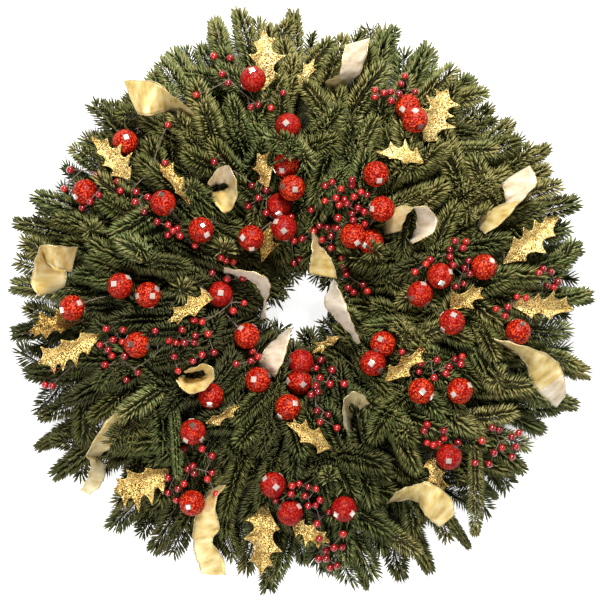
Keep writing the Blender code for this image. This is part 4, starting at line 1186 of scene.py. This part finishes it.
def leaf_rows(leaf, lift, draw):
    """Rows of places across a leaf, with its spines, its veins and a groove down its rib."""
    place = base, length, ahead, side, up = leaf_frame(leaf, lift)
    spines = leaf_spines(leaf, base, length, ahead, side)
    knots = {sign: [(0.0, 0.0012)] + spines[sign] + [(1.0, 0.0006)] for sign in (1, -1)}
    wave = draw.uniform(0, 6)
    rows = []
    for step in range(LEAF_STEPS + 1):
        part = step / LEAF_STEPS
        rib = leaf_rib(place, part)
        row = []
        for column in range(COLUMNS + 1):
            across = column / COLUMNS * 2 - 1
            sign = 1 if across >= 0 else -1
            reach, peak = leaf_edge(knots[sign], part)
            far = abs(across)
            raised = reach * LEAF_CUP * far ** 2 + SPINE_RISE * peak * far ** 5
            groove = -LEAF_GROOVE * math.exp(-(across * 3.2) ** 2)
            vein = LEAF_VEIN * math.cos((part * 9 - far * 1.6) * math.tau) * far * (1 - far)
            buckle = LEAF_BUCKLE * math.sin(part * 11 + wave + across * 2.2) * far
            row.append(rib + side * sign * reach * far + ahead * SPINE_SWEEP * peak * far ** 4
                       + up * (raised + groove + vein + buckle))
        rows.append(row)
    return rows


def make_leaves():
    """The holly leaves; gives the name of each CAD node and the rows of its leaves."""
    made = []
    for name, leaves in LEAVES.items():
        sprays = []
        for order, leaf in enumerate(leaves):
            draw = random.Random(name + str(order))
            lift = packed_lift(name, lambda lift: [leaf_rib(leaf_frame(leaf, lift), part)
                                                   for part in (0.25, 0.5, 0.75)])
            rows = leaf_rows(leaf, lift, draw)
            leaf_name = f"{name}_{order + 1}"
            piece = sheet_mesh(leaf_name, rows, [finishes["glitter"]], LEAF_THICKNESS,
                               LEAF_PAINTED_LIGHT.get(leaf_name, 0.0))
            hand_over(piece, "gold_glitter", name)
            sprays.append(rows)
        made.append((name, sprays))
    return made


# Balls and berries

def ball_place(name, px, py):
    """A ball's middle, found from the highest point of the CAD ball."""
    best = None
    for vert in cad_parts[name].data.vertices:
        centre = spot(px, py, vert.co.z - BALL)
        if math.hypot(vert.co.x - centre.x, vert.co.y - centre.y) < BALL_MATCH:
            if best is None or centre.z > best.z:
                best = centre
    if best is None:
        best = spot(px, py, crown(spot(px, py, VIEW_PLANE)) + 0.004)
    return best


def place_balls():
    return {name: [ball_place(name, px, py) for px, py in pick[0]]
            for name, pick in PICKS.items()}


def clear_of_balls(place, room):
    """Moves a place out of every ball that it is in."""
    for centre in all_balls:
        away = place - centre
        if away.length < BALL + room:
            place = centre + away.normalized() * (BALL + room)
    return place


def place_berries():
    """The berries of each pick: the CAD's own, then those that the nearest pick carries."""
    found = {name: [] for name in PICKS}
    draw = random.Random(11)
    for name, pick in PICKS.items():
        surface = packed_surface(name)
        for px, py in pick[1]:
            way = (spot(px, py, 0.0) - CAMERA_PLACE).normalized()
            hit = surface.ray_cast(CAMERA_PLACE, way)[0]
            level = hit.z - BERRY * 0.9 if hit else crown(spot(px, py, VIEW_PLANE))
            found[name].append(spot(px, py, level))
    for px, py in MORE_BERRIES:
        level = crown(spot(px, py, VIEW_PLANE)) + draw.uniform(-0.006, 0.008)
        place = clear_of_balls(spot(px, py, level), BERRY)
        for others in found.values():
            for other in others:
                away = place - other
                if away.length < BERRY * 2:
                    place = other + away.normalized() * BERRY * 2.02
        near = min(PICKS, key=lambda pick: min((Vector((place - centre).xy)).length
                                               for centre in balls_of[pick]
                                               + found[pick][:3]))
        found[near].append(place)
    return found


def knot_place(name):
    """Where the wires of a pick meet, as the CAD has it."""
    places = balls_of[name] + berries_of[name][:len(PICKS[name][1])]
    middle = sum(places, Vector()) / len(places)
    middle.z = crown(middle) - KNOT_DEPTH
    tries = []
    for z in (0, -KNOT_RISE, KNOT_RISE):
        for x in (0, KNOT_SHIFT, -KNOT_SHIFT):
            for y in (0, KNOT_SHIFT, -KNOT_SHIFT):
                knot = middle + Vector((x, y, z))
                points = [knot + Vector(way) * KNOT for way in
                          ((1, 0, 0), (-1, 0, 0), (0, 1, 0), (0, -1, 0), (0, 0, -1))]
                tries.append((knot, points))
    return as_packed(name, tries)


def wire_line(start, end, sag, radius, draw):
    """A thin wire from start to end that bows down and goes round the balls."""
    side = (end - start).cross(Vector((0, 0, 1)))
    side = side.normalized() if side.length > 0 else Vector((1, 0, 0))
    bow = side * draw.uniform(-0.12, 0.12) * (end - start).length
    middle = (start + end) / 2 + Vector((0, 0, -sag)) + bow
    line = []
    for step in range(WIRE_STEPS + 1):
        t = step / WIRE_STEPS
        place = start * (1 - t) ** 2 + middle * 2 * t * (1 - t) + end * t * t
        if 0 < step < WIRE_STEPS:
            place = clear_of_balls(place, WIRE_CLEARANCE)
        line.append((place, radius * (1.25 - 0.35 * t)))
    return line


def facing(centre, way, spin=0.0):
    """A matrix that puts +Z along a direction, at a place."""
    turn = way.normalized().to_track_quat("Z", "Y").to_matrix().to_4x4()
    return Matrix.Translation(centre) @ turn @ Matrix.Rotation(spin, 4, "Z")


def mirror_ways(px, py, draw):
    """Directions of a ball's mirror squares: those that show, and some round its other side."""
    ways = []
    for mx, my in MIRRORS.get((px, py), []):
        x = (mx - px) * PIXEL / BALL
        y = (py - my) * PIXEL / BALL
        far = math.hypot(x, y)
        if far > MIRROR_REACH:
            x, y = x * MIRROR_REACH / far, y * MIRROR_REACH / far
        ways.append(Vector((x, y, math.sqrt(max(1 - x * x - y * y, 0.02)))))
    for _ in range(MIRROR_TRIES):
        way = Vector([draw.gauss(0, 1) for _ in range(3)]).normalized()
        if way.z < HIDDEN_FROM and all(way.dot(other) < 0.50 for other in ways):
            ways.append(way)
    return ways


def make_balls(name, draw):
    """The balls of a pick and the mirror squares on them."""
    turns, tones, squares, square_tones = [], [], [], []
    for (px, py), centre in zip(PICKS[name][0], balls_of[name]):
        spin = Matrix.Rotation(draw.uniform(0, 6), 4, (draw.random(), draw.random(), 1))
        size = Matrix.Scale(BALL * BALL_CORE, 4)
        turns.append(Matrix.Translation(centre) @ spin @ size)
        tones.append(draw.choice(BALL_TONES))
        for way in mirror_ways(px, py, draw):
            seat = facing(centre + way * (BALL * BALL_CORE), way, draw.uniform(0, 1.57))
            squares.append(seat @ Matrix.Scale(MIRROR, 4))
            square_tones.append(draw.choice(MIRROR_PAINTED_REFLECTIONS))
    hand_over(stamp(name + "_balls", patterns["ball"], turns, finishes["beads"], tones),
              "red_beads", name)
    hand_over(stamp(name + "_mirrors", patterns["mirror"], squares, finishes["mirror"],
                    square_tones, smooth=False), None, name)


def make_berries(name, knot, lines, draw):
    """The berries of a pick, from the knot outwards; adds each one's wire to the lines."""
    joints = [knot]
    turns, tones = [], []
    for place in sorted(berries_of[name], key=lambda place: (place - knot).length):
        start = min(joints, key=lambda joint: (joint - place).length)
        line = wire_line(start, place, BERRY_SAG, TWIG, draw)
        lines.append(line)
        joints.append(line[BERRY_JOINT][0])
        size = BERRY * draw.uniform(0.90, 1.06)
        turn = facing(place, place - line[-2][0], draw.uniform(0, 6))
        turns.append(turn @ Matrix.Scale(size, 4))
        tones.append(draw.uniform(0.30, 1.0))
    hand_over(stamp(name + "_berries", patterns["berry"], turns, finishes["berry"], tones),
              "red_beads", name)


def make_picks():
    """The balls, mirrors, berries and wires of every pick."""
    for name in PICKS:
        draw = random.Random(name + "_pick")
        knot = knot_place(name)
        make_balls(name, draw)
        lines = [wire_line(knot, centre, BALL_SAG, TWIG * 1.3, draw)
                 for centre in balls_of[name]]
        make_berries(name, knot, lines, draw)
        foot = nearest_shoot(knot)
        lines.append([(knot, STEM * 1.3), (knot.lerp(foot, 0.5), STEM * 1.2), (foot, STEM * 1.2)])
        lines.append([(knot + (foot - knot).normalized() * -0.004, KNOT * 0.45),
                      (knot, KNOT * 0.55), (knot.lerp(foot, 0.35), KNOT * 0.40)])
        hand_over(tubes(name + "_wires", lines, finishes["wire"]), None, name)


# Fir shoots

class Shoot:
    """One shoot: a line from its root to its tip, and how its needles stand."""

    def __init__(self, bunch, root, bend, tip, bare, draw, plain=False):
        self.bunch = bunch
        steps = numpy.linspace(0, 1, 25)[:, None]
        a, b, c = (numpy.array(place) for place in (root, bend, tip))
        self.points = a * (1 - steps) ** 2 + b * 2 * steps * (1 - steps) + c * steps ** 2
        spans = numpy.linalg.norm(numpy.diff(self.points, axis=0), axis=1)
        self.marks = numpy.concatenate([[0.0], numpy.cumsum(spans)])
        self.length = self.marks[-1]
        self.bare = min(bare, self.length * 0.75)
        self.plain = plain
        self.outer = False
        self.sweep = draw.uniform(*SWEEPS)
        self.roll = draw.uniform(-ROLL, ROLL)
        self.size = draw.uniform(*SIZES)
        # the lower layers' twigs start darker, as painted shade
        self.tone = draw.gauss(SHADED_LOW_TONE if plain else TONE, TONE_SPREAD)
        # the light reaches the outer shoots more than those round the hole
        self.tone += (math.hypot(tip[0], tip[1]) - MIDDLE_RADIUS) * PALER_OUTWARDS
        # painted light and shade: shoots in the eighths towards the key lamp are paler, those away
        # from it darker
        turn = math.atan2(tip[1], tip[0]) / math.tau
        self.tone += EIGHTH_LIGHT_AND_SHADE[int(turn % 1.0 * len(EIGHTH_LIGHT_AND_SHADE)) % len(EIGHTH_LIGHT_AND_SHADE)]

    def at(self, marks):
        return numpy.stack([numpy.interp(marks, self.marks, self.points[:, axis])
                            for axis in range(3)], axis=-1)

    def line(self):
        """Places and radii of the woody core."""
        marks = numpy.linspace(0, self.length, 9)
        radii = SHOOT_ROOT + (SHOOT_TIP - SHOOT_ROOT) * marks / self.length
        return [(Vector(place), radius) for place, radius in zip(self.at(marks), radii)]


def bunch_name(index):
    return f"fir_bunch_{index + 1:02d}"


def root_on(index, lean):
    """Where a shoot leaves the end of its bundle, in degrees of lean from the clamp."""
    turn = math.copysign(4.6 + min(abs(lean), 15) * 0.40, lean)
    return around(CLAMP_RADIUS, 360 * index / CLAMPS + turn, BUNDLE_HEIGHT)


def outline_shoot(order, px, py, draw):
    """One of the CAD's shoots that end at the outline, low and high ones by turns."""
    height = OUTLINE_HEIGHTS[order % 2]
    reach = spot(px, py, height)
    degrees = math.degrees(math.atan2(reach.y, reach.x))
    index = round(degrees / (360 / CLAMPS)) % CLAMPS
    lean = (degrees - 360 * index / CLAMPS + 180) % 360 - 180
    far = Vector((reach.x, reach.y)).length - TIP_NEEDLE - 0.002
    bend = around(OUTLINE_BEND, degrees - lean * 0.15, OUTLINE_BEND_HEIGHTS[order % 2])
    tip = around(far, degrees, height)
    shoot = Shoot(bunch_name(index), root_on(index, lean), bend, tip, OUTER_BARE, draw)
    shoot.outer = True
    if (px, py) in NARROW:
        shoot.size, shoot.sweep = NARROW_SIZE, NARROW_SWEEP
    return shoot


def spread_shoot(index, lean, bend, tip, draw):
    """One of the CAD's inner or upper shoots, turned and sunk as the CAD has it."""
    middle = 360 * index / CLAMPS
    root = root_on(index, lean)
    tries = []
    for sink in SPREAD_SINKS:
        for turn in SPREAD_TURNS:
            high = around(bend[0], middle + lean * bend[2] + turn * 0.6, bend[1] - sink)
            end = around(tip[0], middle + lean * tip[2] + turn, tip[1] - sink)
            points = [root * (1 - t) ** 2 + high * 2 * t * (1 - t) + end * t * t
                      for t in (0.4, 0.55, 0.7, 0.85, 1.0)]
            tries.append(((high, end), points))
    high, end = as_packed(bunch_name(index), tries)
    return Shoot(bunch_name(index), root, high, end, INNER_BARE, draw)


def cad_shoots(draw):
    shoots = [outline_shoot(order, px, py, draw) for order, (px, py) in enumerate(OUTLINE_TIPS)]
    for index in range(CLAMPS):
        for lean, bend, tip in SPREAD[:4 - index % 2]:
            shoots.append(spread_shoot(index, lean, bend, tip, draw))
    return shoots


def grown_outline():
    """The pixels of the outline's tips in order round the middle, moved a little outwards."""
    found = []
    middle_x, middle_y = CENTRE_PX
    for px, py in sorted(OUTLINE_TIPS + MORE_TIPS,
                         key=lambda tip: math.atan2(tip[1] - middle_y, tip[0] - middle_x)):
        reach = math.hypot(px - middle_x, py - middle_y)
        grown = (reach + OUTLINE_ROOM) / reach
        found.append((middle_x + (px - middle_x) * grown, middle_y + (py - middle_y) * grown))
    return found


class Shoots:
    """All the shoots, and the tree in which a new twig or stem finds what carries it."""

    def __init__(self, shoots):
        self.all = list(shoots)
        self.rebuild()

    def rebuild(self):
        self.sources = [(shoot, place) for shoot in self.all for place in shoot.points[4:-2]]
        self.tree = KDTree(len(self.sources))
        for index, (shoot, place) in enumerate(self.sources):
            self.tree.insert(place, index)
        self.tree.balance()

    def nearest(self, place):
        index = self.tree.find(place)[1]
        shoot, point = self.sources[index]
        return shoot, Vector(point)

    def grow(self, tip, way, length, drop, draw, plain=False):
        """Adds a twig with its tip at a place, which branches from the nearest shoot."""
        for sink in SINKS:
            end = tip - Vector((0, 0, sink))
            wished = end - way * length - Vector((0, 0, drop))
            shoot, root = self.nearest(wished)
            bend = end - way * length * 0.5 + Vector((0, 0, 0.006 - drop * 0.3))
            bend = bend.lerp(root, 0.15)
            twig = Shoot(shoot.bunch, root, bend, end, 0.0, draw, plain)
            twig.bare = min(max(twig.length - length * 1.05, 0.006), 0.018)
            marks = numpy.linspace(twig.bare, twig.length, 9)
            if twig.points[:, 2].min() < 0.004:
                continue
            outward = Vector((end.x, end.y, 0)).normalized() * TIP_NEEDLE
            if not inside(outline, pixels(numpy.array([end + outward])))[0]:
                continue
            if not any(ornaments.blocks(Vector(place), TWIG_CLEARANCE)
                       for place in twig.at(marks)):
                self.all.append(twig)
                return twig
        return None


def nearest_shoot(place):
    return wood.nearest(place)[1]


def fill_outline(draw):
    """Twigs that end at the outline between the CAD's own shoots."""
    for order, (px, py) in enumerate(MORE_TIPS):
        reach = spot(px, py, MORE_TIP_HEIGHTS[order % 3])
        out = Vector((reach.x, reach.y, 0)).normalized()
        wood.grow(reach - out * 0.016, out, 0.085, 0.0, draw)
    wood.rebuild()


def fill_low_layers(draw):
    """Plain twigs that close the ring under the others."""
    for radius, height, count, sign in LOW_LAYERS:
        shift = draw.uniform(0, 360)
        for index in range(count):
            degrees = shift + 360 * (index + draw.uniform(-0.25, 0.25)) / count
            tip = around(radius + draw.uniform(-0.008, 0.008), degrees,
                         height + draw.uniform(-0.006, 0.006))
            way = around(1, degrees + draw.uniform(-LOW_LEAN, LOW_LEAN), 0) * sign
            wood.grow(tip, way, draw.uniform(*LOW_LENGTHS), 0.0, draw, plain=True)
        wood.rebuild()


def fill_layers(draw):
    """Twigs that cover the ring from the outline inwards, each layer over the last."""
    for radius, count, sign in LAYERS:
        shift = draw.uniform(0, 360)
        for index in range(count):
            degrees = shift + 360 * (index + draw.uniform(-0.30, 0.30)) / count
            tip = around(radius + draw.uniform(-0.009, 0.009), degrees, 0)
            sunk = draw.uniform(*TIP_LEVELS)
            tip.z = crown(tip) + sunk
            way = around(1, degrees + draw.gauss(0, TWIG_LEAN), 0) * sign
            twig = wood.grow(tip, way, draw.uniform(*TWIG_LENGTHS), draw.uniform(*TWIG_DROPS),
                             draw)
            if twig:
                # painted shade: twigs that sink under the crown are darker
                twig.tone += sunk * PAINTED_SHADE_BY_DEPTH + 0.05
        wood.rebuild()


def over_crown(px, py, rise):
    return spot(px, py, crown(spot(px, py, VIEW_PLANE)) + rise)


def lay_twig(foot, tip, drop, tone, draw, size=None):
    """One twig from a chosen foot to a chosen tip, with its own tone."""
    twig = wood.grow(tip, (tip - foot).normalized(), (tip - foot).length, drop, draw)
    if twig:
        twig.tone = tone
        twig.size = size or twig.size


def lay_chosen_twigs(draw):
    """The twigs seen whole, those round the hole and the tufts that point at the viewer."""
    for foot_x, foot_y, px, py, rise, size, tone in OVERLYING:
        lay_twig(over_crown(foot_x, foot_y, rise), over_crown(px, py, rise), 0.004, tone, draw,
                 size)
    for foot_x, foot_y, px, py, height in HOLE_TWIGS:
        lay_twig(spot(foot_x, foot_y, height / 1000), spot(px, py, height / 1000), 0.0,
                 SHADED_LOW_TONE, draw)
    for px, py in TUFTS:
        tip = over_crown(px, py, 0.006)
        lean = Vector((tip.x, tip.y, 0)).normalized() * 0.35
        twig = wood.grow(tip, (Vector((0, 0, 1)) + lean).normalized(), 0.030, 0.0, draw)
        if twig:
            twig.tone = LIT_TUFT_TONE
    wood.rebuild()


# Needles

class Needles:
    """The needles of one bunch, as arrays, before they are stamped in one mesh."""

    def __init__(self):
        self.groups = []

    def extend(self, keep, *values):
        self.groups.append([value[keep] for value in values])

    def stamp(self, name, pattern):
        """One piece of all the needles, each a copy of the pattern that bends a little."""
        feet, ways, wides, aheads, lengths, tones = (numpy.concatenate(parts)
                                                     for parts in zip(*self.groups))
        flats = numpy.cross(ways, wides)
        x, y, z = (pattern.places[:, axis][None, :, None] for axis in range(3))
        long = lengths[:, None, None]
        places = (feet[:, None, :] + ways[:, None, :] * z * long
                  + wides[:, None, :] * x * NEEDLE_WIDTH
                  + flats[:, None, :] * y * NEEDLE_THICKNESS
                  + aheads[:, None, :] * z * z * long * NEEDLE_CURL)
        piece = new_piece(name, places.reshape(-1, 3), pattern.copied_faces(len(feet)),
                          [finishes["fir"]])
        add_attribute(piece, "tone", numpy.repeat(tones, len(pattern.places)))
        add_attribute(piece, "along", numpy.tile(pattern.places[:, 2], len(feet)))
        return piece


def unit(vectors):
    return vectors / numpy.maximum(numpy.linalg.norm(vectors, axis=1), 1e-9)[:, None]


def needles_of(shoot, dice):
    """Feet, directions, lengths and tones of the needles along one shoot, rank by rank."""
    needled = shoot.length - shoot.bare
    step = RANK_STEP * (OUTER_DENSER if shoot.outer else PLAIN_SPARSER if shoot.plain else 1.0)
    steps = max(int(needled / step), 4)
    ranks = numpy.tile(numpy.radians(RANKS), steps)
    count = len(ranks)
    shifts = numpy.tile((numpy.arange(len(RANKS)) * RANK_SHIFT) % 1.0, steps)
    order = numpy.repeat(numpy.arange(steps), len(RANKS)) + shifts
    order += dice.uniform(-PLACE_JITTER, PLACE_JITTER, count)
    marks = shoot.bare + needled * order / steps
    marks = numpy.clip(marks, shoot.bare, shoot.length)
    feet = shoot.at(marks)
    aheads = unit(shoot.at(marks + 0.002) - shoot.at(marks - 0.002))
    at_end = marks > shoot.length - 0.002
    aheads[at_end] = unit((shoot.points[-1] - shoot.points[-3])[None, :])
    ups = numpy.array([[0.0, 0.0, 1.0]]) - aheads * aheads[:, 2:3]
    steep = numpy.abs(aheads[:, 2]) > 0.93
    ups[steep] = numpy.cross(aheads[steep], numpy.array([1.0, 0.0, 0.0]))
    ups = unit(ups)
    sides = numpy.cross(aheads, ups)
    turns = ranks + shoot.roll + dice.normal(0, TURN_JITTER, count)
    outs = ups * numpy.cos(turns)[:, None] + sides * numpy.sin(turns)[:, None]
    part = (marks - shoot.bare) / needled
    sweeps = shoot.sweep * (1 - 0.62 * part ** 9) + dice.normal(0, SWEEP_JITTER, count)
    sweeps = numpy.radians(sweeps)[:, None]
    ways = outs * numpy.sin(sweeps) + aheads * numpy.cos(sweeps)
    profile = 0.72 + 0.28 * numpy.sin(numpy.pi * numpy.clip(part * 0.70 + 0.15, 0, 1))
    lengths = NEEDLE * shoot.size * profile * dice.uniform(*LENGTH_JITTER, count)
    leans = ups * 0.9 + aheads * 0.30 + dice.normal(0, LEAN_JITTER, (count, 3))
    wides = unit(numpy.cross(ways, leans))
    # painted light and shade: needles on top of a shoot are paler, those under it darker
    high = numpy.cos(turns) * 0.12
    tones = shoot.tone + high + dice.normal(0, TONE_JITTER, count) + part * 0.10
    return feet, ways, wides, aheads, lengths, numpy.clip(tones, 0.02, 0.98)


def kept_needles(feet, ways, aheads, lengths, end, dice):
    """Which needles stay: inside the outline, out of the hole and clear of the ornaments."""
    tips = feet + (ways + aheads * NEEDLE_CURL) * lengths[:, None]
    halves = feet + ways * lengths[:, None] * 0.55
    tip_pixels, half_pixels = pixels(tips), pixels(halves)
    keep = (numpy.abs(tips[:, :2]).max(axis=1) < FOLIAGE_REACH) & (tips[:, 2] > 0.003)
    at_end = numpy.linalg.norm(tips - end, axis=1) < END_ROOM
    in_hole = inside(HOLE, tip_pixels) | inside(HOLE, half_pixels) | inside(HOLE, pixels(feet))
    keep &= (inside(outline, tip_pixels) & ~in_hole) | at_end
    over = numpy.zeros(len(feet), dtype=bool)
    for px, py, reach in COVERED:
        over |= ((tip_pixels - (px, py)) ** 2).sum(1) < reach ** 2
    stray = dice.uniform(0, 1, len(feet)) < STRAY
    for index in numpy.flatnonzero(keep):
        foot, way = Vector(feet[index]), Vector(tips[index] - feet[index])
        if ornaments.crossed(foot, way.normalized(), way.length + 0.001):
            keep[index] = False
        elif not over[index] and not stray[index]:
            if ornaments.covered(Vector(tips[index])) or ornaments.covered(Vector(halves[index])):
                keep[index] = False
    return keep


def make_fir():
    """The needles, shoots, buds and cut stems of every bunch."""
    dice = numpy.random.default_rng(5)
    for index in range(CLAMPS):
        name = bunch_name(index)
        own = [shoot for shoot in wood.all if shoot.bunch == name]
        needles = {False: Needles(), True: Needles()}
        buds = []
        for shoot in own:
            feet, ways, wides, aheads, lengths, tones = needles_of(shoot, dice)
            keep = kept_needles(feet, ways, aheads, lengths, shoot.points[-1], dice)
            needles[shoot.plain].extend(keep, feet, ways, wides, aheads, lengths, tones)
            ahead = Vector(shoot.points[-1] - shoot.points[-2])
            buds.append(facing(Vector(shoot.points[-1]), ahead) @ Matrix.Scale(BUD, 4))
        lines = [shoot.line() for shoot in own]
        for piece in (needles[False].stamp(name + "_needles", patterns["needle"]),
                      needles[True].stamp(name + "_low_needles", patterns["plain_needle"]),
                      tubes(name + "_shoots", lines, finishes["bark"], 0),
                      stamp(name + "_buds", patterns["bud"], buds, finishes["bark"]),
                      make_bundle(name, index)):
            hand_over(piece, "fir", name)


def make_bundle(name, index):
    """The cut stems of a bunch, side by side in their clamp."""
    draw = random.Random(name)
    lines = []
    for order in range(7):
        turn = math.tau * order / 6
        off, radius = (0.0, MIDDLE_STEM) if order == 6 else (CUT_STEM_OFFSET, CUT_STEM)
        line = []
        for step in range(7):
            degrees = 360 * index / CLAMPS + BUNDLE_HALF_ANGLE * (step / 3 - 1)
            reach = off * (0.92 if step in (0, 6) else 1.0)
            place = around(CLAMP_RADIUS + reach * math.cos(turn), degrees,
                           BUNDLE_HEIGHT + reach * math.sin(turn))
            line.append((place, radius))
        for end, inner in ((0, 1), (-1, -2)):
            line[end] = (line[end][0].lerp(line[inner][0], draw.uniform(0.0, 0.5)), radius)
        lines.append(line)
    return tubes(name + "_cut_stems", lines, finishes["bark"], 2)


# The ring

def make_ring():
    """The two hoops, the cleats across them and the wires that hold the bundles."""
    name = "clamp_ring"
    for order, radius in enumerate(RING_RADII):
        deselect()
        bpy.ops.mesh.primitive_torus_add(major_radius=radius, minor_radius=RING_WIRE,
                                         major_segments=120, minor_segments=10,
                                         location=(0, 0, RING_HEIGHT))
        bpy.ops.object.transform_apply(location=True, rotation=True, scale=True)
        hoop = bpy.context.object
        hoop.name = f"ring_hoop_{order + 1}"
        hoop.data.materials.append(finishes["ring"])
        hoop.data.shade_smooth()
        hand_over(hoop, "ring_wire", name)
    deselect()
    bpy.ops.mesh.primitive_cube_add(size=1, location=(0, 0, 0))
    begin_edit()
    bpy.ops.transform.resize(value=CLEAT)
    bpy.ops.mesh.bevel(offset=0.0004, segments=2)
    pattern = Pattern()
    turns = [Matrix.Rotation(math.tau * index / CLAMPS, 4, "Z")
             @ Matrix.Translation((CLAMP_RADIUS, 0, CLEAT[2] / 2)) for index in range(CLAMPS)]
    hand_over(stamp("ring_cleats", pattern, turns, finishes["ring"], smooth=False),
              "ring_wire", name)
    lines = []
    for index in range(CLAMPS):
        degrees = 360 * index / CLAMPS
        places = [around(CLAMP_RADIUS - CLAMP_BEND, degrees, CLAMP_FOOT)]
        for step in range(13):
            lean = math.radians(180 - 15 * step)
            places.append(around(CLAMP_RADIUS + CLAMP_BEND * math.cos(lean), degrees,
                                 BUNDLE_HEIGHT + CLAMP_BEND * math.sin(lean)))
        places.append(around(CLAMP_RADIUS + CLAMP_BEND, degrees, CLAMP_FOOT))
        lines.append([(place, CLAMP_WIRE) for place in places])
    hand_over(tubes("ring_clamps", lines, finishes["ring"], 2), "ring_wire", name)


# Stems of the leaves and ribbons

def stem_line(place, draw):
    """A stem from a place down to the nearest shoot."""
    foot = nearest_shoot(place - UNDER)
    return wire_line(place, foot, 0.0, STEM, draw)


def make_stems():
    """The wires that carry the leaves and ribbons down to a shoot."""
    for name, sprays in set_leaves:
        draw = random.Random(name + "_stem")
        lines = [stem_line(rows[1][6], draw) for rows in sprays]
        hand_over(tubes(name + "_stem", lines, finishes["wire"]), None, name)
    for name, rows, middle in set_ribbons:
        draw = random.Random(name + "_stem")
        index = min(range(4, len(middle) - 4, 3),
                    key=lambda row: (nearest_shoot(middle[row]) - middle[row]).length)
        start, across = middle[index], rows[index][-1] - rows[index][0]
        flat = across.cross(middle[index + 1] - middle[index - 1]).normalized()
        if flat.dot(nearest_shoot(start - UNDER) - start) < 0:
            flat = -flat
        start = start + flat * STEM_GAP
        hand_over(tubes(name + "_stem", [stem_line(start, draw)], finishes["wire"]), None, name)


# The whole scene

set_camera()
set_lights()
finishes = {
    "fir": needle_finish(),
    "ring": ring_finish(),
    "beads": bead_finish(),
    "glitter": glitter_finish(),
    "bark": grained_finish(
        "bark", {"Specular IOR Level": 0.3}, (350.0, 4.0),
        [(0.30, (0.018, 0.014, 0.006)), (0.55, (0.045, 0.036, 0.014)),
         (0.75, (0.090, 0.070, 0.032))],
        gloss=(0.65, 0.30), relief=(0.6, 0.0006), wash=(60.0, 2.0, 0.6, (0.035, 0.045, 0.012))),
    # the squares' colour, dark to pale pink by their tone, is painted reflection
    "mirror": grained_finish(
        "mirror_square", {"Metallic": 0.5, "Coat Weight": 0.3}, (500.0, 3.0),
        [(0.0, (0.22, 0.13, 0.11)), (0.4, (0.62, 0.50, 0.44)), (1.0, (0.95, 0.82, 0.75))],
        gloss=(0.06, 0.16), relief=(0.08, 0.0003), toned=True),
    "berry": grained_finish(
        "berry", {"Coat Weight": 0.9, "Coat Roughness": 0.06, "Specular IOR Level": 0.55},
        (600.0, 3.0),
        [(0.0, (0.035, 0.002, 0.003)), (0.35, (0.190, 0.002, 0.006)),
         (0.75, (0.400, 0.004, 0.010)), (1.0, (0.620, 0.022, 0.012))],
        gloss=(0.16, 0.18), relief=(0.10, 0.0003), toned=True,
        wash=(600.0, 3.0, 0.4, (0.180, 0.002, 0.008))),
    "wire": grained_finish(
        "wrapped_wire", {"Specular IOR Level": 0.5}, (900.0, 2.0),
        [(0.35, (0.060, 0.036, 0.026)), (0.65, (0.250, 0.190, 0.150))],
        gloss=(0.35, 0.3), relief=(0.4, 0.0003)),
    "thread": grained_finish(
        "gold_thread", {"Specular IOR Level": 0.6, "Metallic": 0.7}, (1300.0, 2.0),
        [(0.35, (0.360, 0.250, 0.085)), (0.65, (0.950, 0.820, 0.480))],
        gloss=(0.25, 0.25), relief=(0.6, 0.0003)),
    "satin": satin_finish("champagne_satin_face", (0.540, 0.360, 0.095), (0.820, 0.610, 0.210),
                          (1.000, 0.860, 0.470), 0.26, 0.26),
    "satin_back": satin_finish("champagne_satin_back", (0.520, 0.400, 0.250),
                               (0.780, 0.650, 0.460), (1.000, 0.900, 0.740), 0.10, 0.30),
}
patterns = {
    "needle": model_needle(),
    "plain_needle": model_plain_needle(),
    "ball": model_bead_ball(),
    "mirror": model_mirror(),
    "berry": model_berry(),
    "bud": model_bud(),
}
outline = grown_outline()
balls_of = place_balls()
all_balls = [centre for centres in balls_of.values() for centre in centres]
berries_of = place_berries()

set_leaves = make_leaves()
for name in PICKS:
    for centre in balls_of[name]:
        ornaments.add_round(centre, BALL * BALL_GUARD)
        ornaments.balls.append(tuple(centre))
    for centre in berries_of[name]:
        ornaments.add_round(centre, BERRY)

shoot_draw = random.Random(3)
wood = Shoots(cad_shoots(shoot_draw))
set_ribbons = make_ribbons()
ornaments.close()
fill_outline(shoot_draw)
fill_low_layers(shoot_draw)
fill_layers(shoot_draw)
lay_chosen_twigs(shoot_draw)

make_ring()
make_fir()
make_picks()
make_stems()

bpy.ops.mesh.primitive_plane_add(size=8, location=(0, 0, 0))
floor = bpy.context.object
floor.name = "floor"
floor.data.materials.append(floor_finish())
